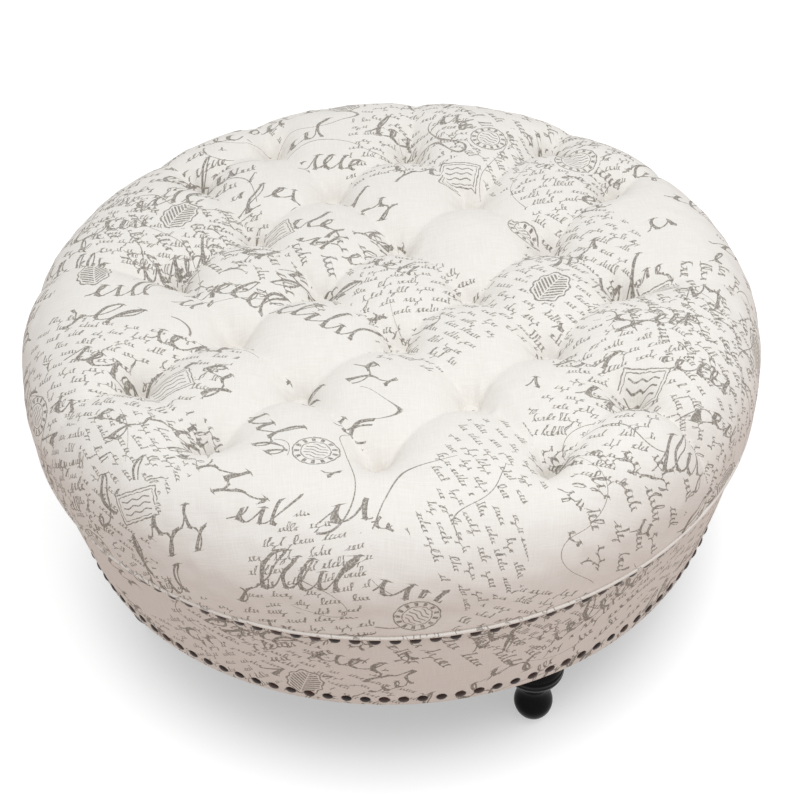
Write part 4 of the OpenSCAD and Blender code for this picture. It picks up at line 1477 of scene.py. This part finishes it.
def ring_tree(name: str, sizes: dict[str, float], counts: dict[str, int]) -> tuple:
    """Start a Geometry Nodes tree that sets small things in a ring.

    Args:
        name: the tree's name.
        sizes: start value by name of each length input.
        counts: start value by name of each whole-number input.

    Returns:
        The tree and its input sockets by name.
    """
    tree = bpy.data.node_groups.new(name, "GeometryNodeTree")
    tree.interface.new_socket(name="Geometry", in_out="INPUT", socket_type="NodeSocketGeometry")
    for kind, values in (("NodeSocketFloat", sizes), ("NodeSocketInt", counts)):
        for key, value in values.items():
            socket = tree.interface.new_socket(name=key, in_out="INPUT", socket_type=kind)
            socket.default_value = value
    tree.interface.new_socket(name="Finish", in_out="INPUT", socket_type="NodeSocketMaterial")
    tree.interface.new_socket(name="Geometry", in_out="OUTPUT", socket_type="NodeSocketGeometry")
    given = add(tree, "NodeGroupInput")
    return tree, {s.name: s for s in given.outputs if s.name}


def places_in_ring(tree: NodeTree, k: dict) -> tuple[Node, Node]:
    """Lay out the places of a ring.

    Args:
        tree: a tree from ring_tree.
        k: its sockets, with a Count, a Ring Radius and a Height.

    Returns:
        The places, and the turn of each round the ring.
    """
    ring = add(tree, "GeometryNodeMeshCircle", k["Count"], k["Ring Radius"], fill_type="NONE")
    up = add(tree, "ShaderNodeCombineXYZ", 0.0, 0.0, k["Height"])
    lifted = add(tree, "GeometryNodeSetPosition", ring, named={"Offset": up})
    whole = add(tree, M, 2 * math.pi, k["Count"], operation="DIVIDE")
    turn = add(tree, M, add(tree, "GeometryNodeInputIndex"), whole, operation="MULTIPLY")
    return lifted, turn


def dome_on(tree: NodeTree, radius: object, height: object, around: int, rings: int,
            below: float) -> Node:
    """Make a dome by pressing the lower part of a ball flat.

    Args:
        tree: the tree that takes it.
        radius: socket of its radius.
        height: socket of its height.
        around: faces round it.
        rings: rings of the ball.
        below: how far below its widest line it is cut, in radii.

    Returns:
        The dome, which stands on z = 0.
    """
    ball = add(tree, "GeometryNodeMeshUVSphere", around, rings, 1.0)
    parts = add(tree, "ShaderNodeSeparateXYZ", add(tree, "GeometryNodeInputPosition"))
    above = add(tree, M, parts.outputs[2], -below, operation="MAXIMUM")
    raised = add(tree, M, above, below, operation="ADD")
    squat = add(tree, M, raised, 1 / (1 + below), operation="MULTIPLY")
    flat = add(tree, "ShaderNodeCombineXYZ", parts.outputs[0], parts.outputs[1], squat)
    size = add(tree, "ShaderNodeCombineXYZ", radius, radius, height)
    return add(tree, "GeometryNodeSetPosition", ball,
               named={"Position": add(tree, V, flat, size, operation="MULTIPLY")})


def close_ring_tree(tree: NodeTree, copies: Node, k: dict,
                    smooth: bool = True) -> None:
    """End a tree: the copies become real, get their shading and their finish.

    Args:
        tree: the tree.
        copies: its instances.
        k: its sockets, with a Finish.
        smooth: whether the copies are shaded smooth.
    """
    real = add(tree, "GeometryNodeRealizeInstances", copies)
    if smooth:
        real = add(tree, "GeometryNodeSetShadeSmooth", real)
    add(tree, "NodeGroupOutput", add(tree, "GeometryNodeSetMaterial", real,
                                     named={"Material": k["Finish"]}))


def grow(name: str, tree: NodeTree, values: dict[str, object],
         points: np.ndarray | None = None) -> Object:
    """Run a Geometry Nodes tree and keep its result as a plain mesh.

    Args:
        name: the piece's name.
        tree: the tree.
        values: inputs by name.
        points: places that the tree reads, one row each, or None.

    Returns:
        The finished piece, without a modifier.
    """
    start = bpy.data.meshes.new(name + "_start")
    start.from_pydata([] if points is None else points.tolist(), [], [])
    piece = bpy.data.objects.new(name, start)
    bpy.context.scene.collection.objects.link(piece)
    modifier = piece.modifiers.new("grow", "NODES")
    modifier.node_group = tree
    for item in tree.interface.items_tree:
        if item.in_out == "INPUT" and item.name in values:
            modifier[item.identifier] = values[item.name]
    bpy.context.view_layer.update()
    depsgraph = bpy.context.evaluated_depsgraph_get()
    mesh = bpy.data.meshes.new_from_object(piece.evaluated_get(depsgraph),
                                           preserve_all_data_layers=True, depsgraph=depsgraph)
    mesh.name = name
    piece.modifiers.clear()
    piece.data = mesh
    bpy.data.meshes.remove(start)
    return piece


@dataclass
class Nailheads:
    """Two rows of domed nailheads, one under the welt and one over the lower edge."""

    head_r: float = 0.0065
    head_h: float = 0.0026
    lean: float = math.atan(0.0288 / 0.153)
    # How far a nail is driven askew, in radians, and how its size and tone vary
    askew: float = 0.05
    sizes: tuple[float, float] = (0.96, 1.03)
    tones: tuple[float, float] = (0.15, 1.0)
    around: int = 14
    rings: int = 8

    def tree(self) -> NodeTree:
        """Build the tree of one row: a ring of places, each with a low dome on it.

        Returns:
            The tree.
        """
        tree, k = ring_tree("nail_row", {"Ring Radius": 0.41, "Height": 0.15, "Tilt": 1.75,
                                         "Head Radius": self.head_r, "Head Height": self.head_h},
                            {"Count": 123, "Seed": 1})
        places, turn = places_in_ring(tree, k)
        dome = dome_on(tree, k["Head Radius"], k["Head Height"], self.around, self.rings, 0.0)
        jog = add(tree, "FunctionNodeRandomValue", data_type="FLOAT_VECTOR", named={
            "Min": (-self.askew, -self.askew, 0.0), "Max": (self.askew, self.askew, 0.0),
            "Seed": k["Seed"]})
        facing = add(tree, "ShaderNodeCombineXYZ", 0.0, k["Tilt"], turn)
        facing = add(tree, V, facing, jog, operation="ADD")
        turned = add(tree, "FunctionNodeEulerToRotation", facing)
        scale, tone = (add(tree, "FunctionNodeRandomValue", data_type="FLOAT",
                           named={"Min": least, "Max": most, "Seed": k["Seed"]})
                       for least, most in (self.sizes, self.tones))
        heads = add(tree, "GeometryNodeInstanceOnPoints", named={
            "Points": places, "Instance": dome, "Rotation": turned, "Scale": scale})
        toned = add(tree, "GeometryNodeStoreNamedAttribute", data_type="FLOAT", domain="INSTANCE",
                    named={"Geometry": heads, "Name": "tone", "Value": tone})
        close_ring_tree(tree, toned, k)
        return tree

    def build(self, apron: Apron, finish: Material) -> list[Object]:
        """Build both rows.

        Args:
            apron: the cloth that the nails go through.
            finish: the bronze.

        Returns:
            Upper row, lower row.
        """
        tree = self.tree()
        rows = []
        for number, (name, (z, count)) in enumerate(zip(("nailheads_upper", "nailheads_lower"),
                                                        apron.nail_rows)):
            rows.append(grow(name, tree, {
                "Ring Radius": float(apron.wall_r(z)), "Height": z, "Count": count,
                "Tilt": math.pi / 2 + self.lean, "Head Radius": self.head_r,
                "Head Height": self.head_h, "Seed": 7 + number, "Finish": finish}))
        return rows


@dataclass
class Buttons:
    """Covered buttons at the bottom of the tufts."""

    radius: float = 0.011
    height: float = 0.006
    # Cut of the dome below its widest line, in radii
    below: float = 0.35
    # How far it tips in its tuft, and how far it may be turned
    askew: float = 0.1
    spin: float = 6.28
    around: int = 28
    rings: int = 14

    def tree(self) -> NodeTree:
        """Build the tree that sets a covered dome on each place it is given.

        Returns:
            The tree.
        """
        tree, k = ring_tree("covered_buttons", {"Radius": self.radius, "Height": self.height},
                            {"Seed": 1})
        dome = dome_on(tree, k["Radius"], k["Height"], self.around, self.rings, self.below)
        spin = add(tree, "FunctionNodeRandomValue", data_type="FLOAT_VECTOR", named={
            "Min": (-self.askew, -self.askew, 0.0), "Max": (self.askew, self.askew, self.spin),
            "Seed": k["Seed"]})
        turned = add(tree, "FunctionNodeEulerToRotation", spin)
        set_on = add(tree, "GeometryNodeInstanceOnPoints", named={
            "Points": k["Geometry"], "Instance": dome, "Rotation": turned})
        close_ring_tree(tree, set_on, k)
        return tree

    def build(self, cushion: Cushion, finish: Material) -> Object:
        """Build all buttons, each at its tuft's floor.

        Args:
            cushion: the cushion with its tufts.
            finish: the cloth.

        Returns:
            The buttons as one piece.
        """
        places = np.column_stack([cushion.tufts, np.full(len(cushion.tufts), cushion.tuft_z)])
        piece = grow("covered_buttons", self.tree(), {
            "Radius": self.radius, "Height": self.height, "Seed": 4, "Finish": finish}, places)
        mesh = piece.data
        layer = mesh.uv_layers.get("cloth") or mesh.uv_layers.new(name="cloth")
        corner = np.array([mesh.vertices[loop.vertex_index].co[:2] for loop in mesh.loops])
        layer.data.foreach_set("uv", corner.astype(np.float32).ravel())
        return piece


@dataclass
class Legs:
    """Four turned legs: ball foot, neck, flared collar and waist."""

    place_r: float = 0.3562
    first_turn: float = math.radians(24.7 - 90)
    top_z: float = 0.1402
    top_r: float = 0.037
    top_band: float = 0.008
    waist_r: float = 0.031
    collar_r: float = 0.035
    collar_z: float = 0.090
    collar_h: float = 0.007
    neck_r: float = 0.0175
    neck_z: float = 0.054
    ball_r: float = 0.0231
    ball_z: float = 0.028
    foot_r: float = 0.008
    foot_round: float = 0.0026
    glide_h: float = 0.003
    bolt_r: float = 0.004
    bolt_in: float = 0.036
    pin_r: float = 0.0012
    pin_h: float = 0.012
    soft: float = 0.0008
    # Steps under the ball, over it, up the neck and along each half of the waist
    steps: tuple[int, int, int, int] = (16, 18, 22, 14)
    segments: int = 96

    @staticmethod
    def sweep(a: tuple[float, float], b: tuple[float, float],
              steps: int) -> list[tuple[float, float]]:
        """Turned line between two (radius, height) points, upright at both ends."""
        return [(a[0] + (b[0] - a[0]) * (1 - math.cos(math.pi * k / steps)) / 2,
                 a[1] + (b[1] - a[1]) * k / steps) for k in range(1, steps + 1)]

    @staticmethod
    def bowl(a: tuple[float, float], b: tuple[float, float], steps: int) -> list[tuple[float, float]]:
        """Rounded underside from a foot out to a widest line."""
        return [(a[0] + (b[0] - a[0]) * math.sin(math.pi / 2 * k / steps) ** 1.1,
                 a[1] + (b[1] - a[1]) * (1 - math.cos(math.pi / 2 * k / steps) ** 1.1))
                for k in range(1, steps + 1)]

    def profile(self) -> np.ndarray:
        """Trace the section of a leg.

        Returns:
            Rows of (radius, height), from its pin hole round the outside to its bolt hole.
        """
        band_z = self.collar_z + self.collar_h
        waist_z = (band_z + self.top_z - self.top_band) / 2
        foot = (self.foot_r, self.glide_h + self.foot_round)
        ball, neck = (self.ball_r, self.ball_z), (self.neck_r, self.neck_z)
        collar, waist = (self.collar_r, self.collar_z), (self.waist_r, waist_z)
        top = (self.top_r, self.top_z - self.top_band)
        soft = self.soft
        line = [(0, self.glide_h + self.pin_h), (self.pin_r, self.glide_h + self.pin_h),
                (self.pin_r, self.glide_h), (self.foot_r - soft, self.glide_h),
                (self.foot_r, self.glide_h + soft), foot]
        under, over, on_neck, on_waist = self.steps
        line += self.bowl(foot, ball, under) + self.sweep(ball, neck, over)
        line += self.sweep(neck, collar, on_neck)
        line[-1] = (self.collar_r - soft, self.collar_z)
        line += [(self.collar_r, self.collar_z + soft), (self.collar_r, band_z - soft),
                 (self.collar_r - soft, band_z)]
        line += self.sweep((self.collar_r - soft, band_z), waist, on_waist)
        line += self.sweep(waist, top, on_waist)
        line += [(self.top_r, self.top_z - soft), (self.top_r - soft, self.top_z),
                 (self.bolt_r, self.top_z), (self.bolt_r, self.top_z - self.bolt_in),
                 (0, self.top_z - self.bolt_in)]
        return np.array(line)

    def build(self, material: Material) -> list[Object]:
        """Turn the four legs.

        Args:
            material: the lacquer.

        Returns:
            The legs in order.
        """
        points, faces, _ = revolve(self.profile(), self.segments, closed=False)
        legs = []
        for k in range(4):
            angle = self.first_turn + k * math.pi / 2
            shift = np.array([self.place_r * math.cos(angle), self.place_r * math.sin(angle), 0])
            legs.append(mesh_object(f"turned_leg_{k + 1}", points + shift, faces, material))
        return legs

    def axes(self) -> list[tuple[float, float]]:
        """Plan places of the legs."""
        turns = [self.first_turn + k * math.pi / 2 for k in range(4)]
        return [(self.place_r * math.cos(a), self.place_r * math.sin(a)) for a in turns]


@dataclass
class DustCover:
    """The black cloth stapled under the drum."""

    radius: float = 0.4032
    low_z: float = 0.1402
    cloth: float = 0.0008
    # How far it hangs, how that starts past a leg and ends before the rim, and its creases
    sag: float = 0.0022
    leg_room: float = 0.004
    past_leg: float = 0.07
    flat_from: float = 0.390
    before_rim: float = 0.10
    creases: tuple[float, float, int] = (0.5 * MM, 0.05, 15)
    rings: int = 60
    segments: int = 180

    def build(self, legs: Legs, material: Material) -> Object:
        """Build the cloth, hanging a little between the legs.

        Args:
            legs: the legs that hold it against the frame.
            material: the cloth's finish.

        Returns:
            The cover's piece.
        """
        angle = np.linspace(0, 2 * np.pi, self.segments, endpoint=False)
        rows = [np.column_stack([self.radius * k / self.rings * np.cos(angle),
                                 self.radius * k / self.rings * np.sin(angle)])
                for k in range(1, self.rings + 1)]
        plan = np.vstack([[[0, 0]], *rows])
        r = np.linalg.norm(plan, axis=1)
        clear = np.min([np.hypot(plan[:, 0] - x, plan[:, 1] - y) for x, y in legs.axes()], axis=0)
        free = np.clip((clear - legs.top_r - self.leg_room) / self.past_leg, 0, 1)
        free *= np.clip((self.flat_from - r) / self.before_rim, 0, 1)
        tall, size, seed = self.creases
        drop = self.sag * free + tall * np.abs(noise_on(plan, size, seed)) * free
        low = np.column_stack([plan, self.low_z - drop])
        high = low + [0, 0, self.cloth]
        count, seg = len(plan), self.segments
        faces = []
        for j in range(seg):
            k = (j + 1) % seg
            faces += [(0, 1 + k, 1 + j), (count, count + 1 + j, count + 1 + k)]
            for row in range(self.rings - 1):
                a, b = 1 + row * seg, 1 + (row + 1) * seg
                faces += [(a + j, a + k, b + k, b + j),
                          (count + a + j, count + b + j, count + b + k, count + a + k)]
            e = 1 + (self.rings - 1) * seg
            faces.append((e + j, e + k, count + e + k, count + e + j))
        return mesh_object("dust_cloth", np.vstack([low, high]), faces, material)


@dataclass
class Staples:
    """Staples that hold the dust cover: flat wire with both ends turned into the wood."""

    ring_r: float = 0.3978
    crown_z: float = 0.1399
    width: float = 0.012
    wire: float = 0.0006
    count: int = 48
    askew: float = 0.12

    def tree(self) -> NodeTree:
        """Build the tree of one ring of staples.

        Returns:
            The tree.
        """
        tree, k = ring_tree("staple_ring",
                            {"Ring Radius": self.ring_r, "Height": self.crown_z,
                             "Width": self.width, "Wire": self.wire / 2},
                            {"Count": self.count, "Seed": 1})
        places, turn = places_in_ring(tree, k)
        half = add(tree, M, k["Width"], 0.5, operation="MULTIPLY")
        minus = add(tree, M, half, -1.0, operation="MULTIPLY")
        turn_up = add(tree, M, k["Wire"], 1.5, operation="MULTIPLY")
        ends = [add(tree, "ShaderNodeCombineXYZ", 0.0, side, 0.0) for side in (minus, half)]
        tips = [add(tree, "ShaderNodeCombineXYZ", 0.0, side, turn_up) for side in (minus, half)]
        crown = add(tree, "GeometryNodeCurvePrimitiveLine", ends[0], ends[1])
        tip_lines = [add(tree, "GeometryNodeCurvePrimitiveLine", a, b) for a, b in zip(ends, tips)]
        join = add(tree, "GeometryNodeJoinGeometry")
        for part in [crown, *tip_lines]:
            tree.links.new(part.outputs[0], join.inputs[0])
        circle = add(tree, "GeometryNodeCurvePrimitiveCircle", 8, named={"Radius": k["Wire"]})
        wire = add(tree, "GeometryNodeCurveToMesh", join, circle, named={"Fill Caps": True})
        jog = add(tree, "FunctionNodeRandomValue", data_type="FLOAT_VECTOR", named={
            "Min": (0.0, 0.0, -self.askew), "Max": (0.0, 0.0, self.askew), "Seed": k["Seed"]})
        facing = add(tree, "ShaderNodeCombineXYZ", 0.0, 0.0, turn)
        facing = add(tree, V, facing, jog, operation="ADD")
        turned = add(tree, "FunctionNodeEulerToRotation", facing)
        set_on = add(tree, "GeometryNodeInstanceOnPoints", named={
            "Points": places, "Instance": wire, "Rotation": turned})
        close_ring_tree(tree, set_on, k, smooth=False)
        return tree

    def build(self, finish: Material) -> Object:
        """Build the ring of staples with the given metal."""
        return grow("wire_staples", self.tree(), {
            "Ring Radius": self.ring_r, "Height": self.crown_z, "Width": self.width,
            "Wire": self.wire * 0.5, "Count": self.count, "Seed": 2, "Finish": finish})


INNER_FINISHES: dict[str, Finish] = {
    "wadding": WADDING, "apron_padding": WADDING, "foam_core": FOAM, "tuft_twines": TWINE,
    "twine_washers": FIBRE, "deck_board": PLYWOOD, "upper_ring": PLYWOOD, "lower_ring": PLYWOOD,
    "side_wall": HARDBOARD, "cross_rail_under": RAIL_POPLAR, "cross_rail_over": RAIL_POPLAR,
    "foot_glides": GLIDE, "leg_plates": ZINC, "hanger_bolts": ZINC, "tee_nuts": ZINC,
    "deck_screws": YELLOW_ZINC, "ring_screws": YELLOW_ZINC, "rail_screws": YELLOW_ZINC,
}


def dress_frame(nodes: dict) -> None:
    """Give every CAD node that stays its finish.

    Args:
        nodes: the CAD nodes by name.
    """
    for name, node in nodes.items():
        finish = INNER_FINISHES.get(name)
        if name.startswith(("post_", "leg_block_")):
            finish = POPLAR
        if finish:
            node.data.materials.clear()
            node.data.materials.append(finish.make())


# The studio


@dataclass
class Studio:
    """Pale floor, soft light and the camera, all as the picture shows them."""

    focal_px: float = 1567.474
    frame_px: float = 800.0
    elevation: float = 0.6862713
    distance: float = 1.92535
    aim_z: float = 0.337
    centre_px: tuple[float, float] = (390.294, 333.370)
    roll: float = -0.049417
    sensor: float = 36.0
    # Added to the floor where it is seen, under the pouf and past its rim: the shadow stays
    # Painted light, added to the floor where it is seen: a glow, weaker under the pouf and stronger
    # past its rim, so that the shadow stays soft and tight and the floor round it is white
    painted_floor_light: tuple[float, float] = (0.38, 0.66)
    painted_light_reach: tuple[float, float] = (0.31, 0.47)
    floor_half: float = 9.0
    floor_colours: tuple[str, str] = ("CBCBCB", "CCCCCC")
    # The colour that the floor throws back onto the pouf
    bounce: str = "C8AFA3"
    key_at: tuple[float, float, float] = (0.45, -0.8, 2.5)
    key_size: float = 1.4
    key_watts: float = 22.0
    key_tint: tuple[float, float, float] = (0.97, 0.98, 1.0)
    key_aim: tuple[float, float, float] = (0.0, 0.0, 0.3)
    fill: float = 0.70

    def camera(self) -> None:
        """Set up the camera."""
        data = bpy.data.cameras.new("camera")
        data.sensor_width = self.sensor
        data.lens = self.focal_px * self.sensor / self.frame_px
        half = self.frame_px / 2
        data.shift_x = (half - self.centre_px[0]) / self.frame_px
        data.shift_y = (self.centre_px[1] - half) / self.frame_px
        e = self.elevation
        right, up = Vector((1, 0, 0)), Vector((0, math.sin(e), math.cos(e)))
        ahead = Vector((0, math.cos(e), -math.sin(e)))
        x = right * math.cos(self.roll) + up * math.sin(self.roll)
        y = up * math.cos(self.roll) - right * math.sin(self.roll)
        at = Vector((0, 0, self.aim_z)) - ahead * self.distance
        camera = bpy.data.objects.new("camera", data)
        camera.matrix_world = Matrix(((x.x, y.x, -ahead.x, at.x), (x.y, y.y, -ahead.y, at.y),
                                      (x.z, y.z, -ahead.z, at.z), (0, 0, 0, 1)))
        bpy.context.scene.collection.objects.link(camera)
        bpy.context.scene.camera = camera

    @staticmethod
    def seen_by(tree: NodeTree) -> Node:
        """Tell the rays that see a thing, straight or in a gloss, from those that light by it.

        Args:
            tree: the tree that asks.

        Returns:
            A node that gives 1 for rays that see.
        """
        path = add(tree, "ShaderNodeLightPath")
        seen = path.outputs["Is Camera Ray"]
        for ray in ("Is Glossy Ray", "Is Transmission Ray"):
            seen = add(tree, M, seen, path.outputs[ray], operation="MAXIMUM")
        return seen

    def light(self) -> None:
        """Light the pouf with one square soft lamp above it and an even fill from all round."""
        data = bpy.data.lights.new("key", "AREA")
        data.size, data.energy, data.color = self.key_size, self.key_watts, self.key_tint
        lamp = bpy.data.objects.new("key", data)
        lamp.location = self.key_at
        aim = Vector(self.key_aim) - Vector(self.key_at)
        lamp.rotation_euler = aim.to_track_quat("-Z", "Y").to_euler()
        bpy.context.scene.collection.objects.link(lamp)
        world = bpy.data.worlds.new("studio")
        bpy.context.scene.world = world
        world.use_nodes = True
        tree = world.node_tree
        tree.nodes.clear()
        soft = add(tree, "ShaderNodeBackground", linear("FFFFFF"), self.fill)
        white = add(tree, "ShaderNodeBackground", linear("FFFFFF"), 1.0)
        mixed = add(tree, "ShaderNodeMixShader", self.seen_by(tree), soft, white)
        add(tree, "ShaderNodeOutputWorld", mixed)

    def floor(self) -> None:
        """Lay the pale floor, which throws a warmer light back; where it is seen it carries painted
        light, weaker under the pouf, that keeps the shadow soft and the floor round it white.
        """
        half = self.floor_half
        material, tree = new_material("pale_floor")
        where = add(tree, "ShaderNodeTexCoord").outputs["Object"]
        speckle = add(tree, "ShaderNodeTexNoise", named={"Vector": where, "Scale": 60.0})
        one, other = self.floor_colours
        colour = add(tree, "ShaderNodeMix", data_type="RGBA", named={
            "Factor": speckle.outputs[0], "A": linear(one), "B": linear(other)})
        matt = add(tree, "ShaderNodeBsdfDiffuse", colour.outputs[2], 0.0)
        warm = add(tree, "ShaderNodeBsdfDiffuse", linear(self.bounce), 0.0)
        # Painted light: a glow seen only straight on and in gloss, rising from under the pouf to past
        # its rim
        far = add(tree, V, where, operation="LENGTH")
        strength = add(tree, "ShaderNodeMapRange", far, *self.painted_light_reach, *self.painted_floor_light,
                       interpolation_type="SMOOTHSTEP")
        painted_glow = add(tree, "ShaderNodeEmission", linear("FFFFFF"), strength)
        lit = add(tree, "ShaderNodeAddShader", matt, painted_glow)
        mixed = add(tree, "ShaderNodeMixShader", self.seen_by(tree), warm, lit)
        add(tree, "ShaderNodeOutputMaterial", mixed)
        corners = np.array([(-half, -half, 0), (half, -half, 0), (half, half, 0), (-half, half, 0)])
        mesh_object("floor", corners, [(0, 1, 2, 3)], material)


def settle(piece: Object, slot: str, *replaced: str) -> None:
    """Fix a piece to the body and hide the CAD nodes that it stands for.

    Args:
        piece: the finished piece.
        slot: not used.
        replaced: CAD nodes that the piece replaces.
    """
    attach(piece, BODY)
    if replaced:
        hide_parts(*replaced)
    LOG.info("%s: %d faces", piece.name, len(piece.data.polygons))


def main() -> None:
    """Build the pouf's visible pieces round the CAD frame."""
    logging.basicConfig(level=logging.INFO, format="%(name)s: %(message)s")
    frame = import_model()
    nodes = frame["nodes"]
    scene = bpy.context.scene
    scene.view_settings.view_transform = "Standard"
    studio = Studio()
    studio.camera()
    studio.light()
    studio.floor()

    linen = PrintedLinen()
    cushion = Cushion()
    cushion.tufts_from(nodes["tuft_buttons"])
    cover = cushion.build(linen.make("printed_linen_top", (0.37, 1.21), 0.35))
    settle(cover, "cover_linen", "top_cover")

    buttons = Buttons().build(cushion, linen.make("printed_linen_buttons", (2.1, 0.4), 1.0, 0.6))
    settle(buttons, "cover_linen", "tuft_buttons")

    apron = Apron()
    apron_cloth = apron.build(linen.make("printed_linen_apron", (3.3, 2.2), -0.1, 1.0, 1.5))
    settle(apron_cloth, "cover_linen", "apron_cover")

    settle(Welt().build(linen.make("printed_linen_welt", (5.1, 4.2), 0.8, 0.7)), "cover_linen",
           "welt_piping")

    upper, lower = Nailheads().build(apron, NailBronze().make())
    settle(upper, "nail_bronze", "nails_upper")
    settle(lower, "nail_bronze", "nails_lower")

    legs = Legs()
    for number, leg in enumerate(legs.build(LACQUER.make()), start=1):
        settle(leg, "leg_black", f"leg_{number}")

    dust = DustCover()
    dust_cloth = dust.build(legs, DUST_CLOTH.make())
    settle(dust_cloth, "dust_cloth", "dust_cover")
    settle(Staples().build(ZINC.make()), "steel", "dust_staples")

    dress_frame(nodes)


if __name__ == "__main__":
    main()
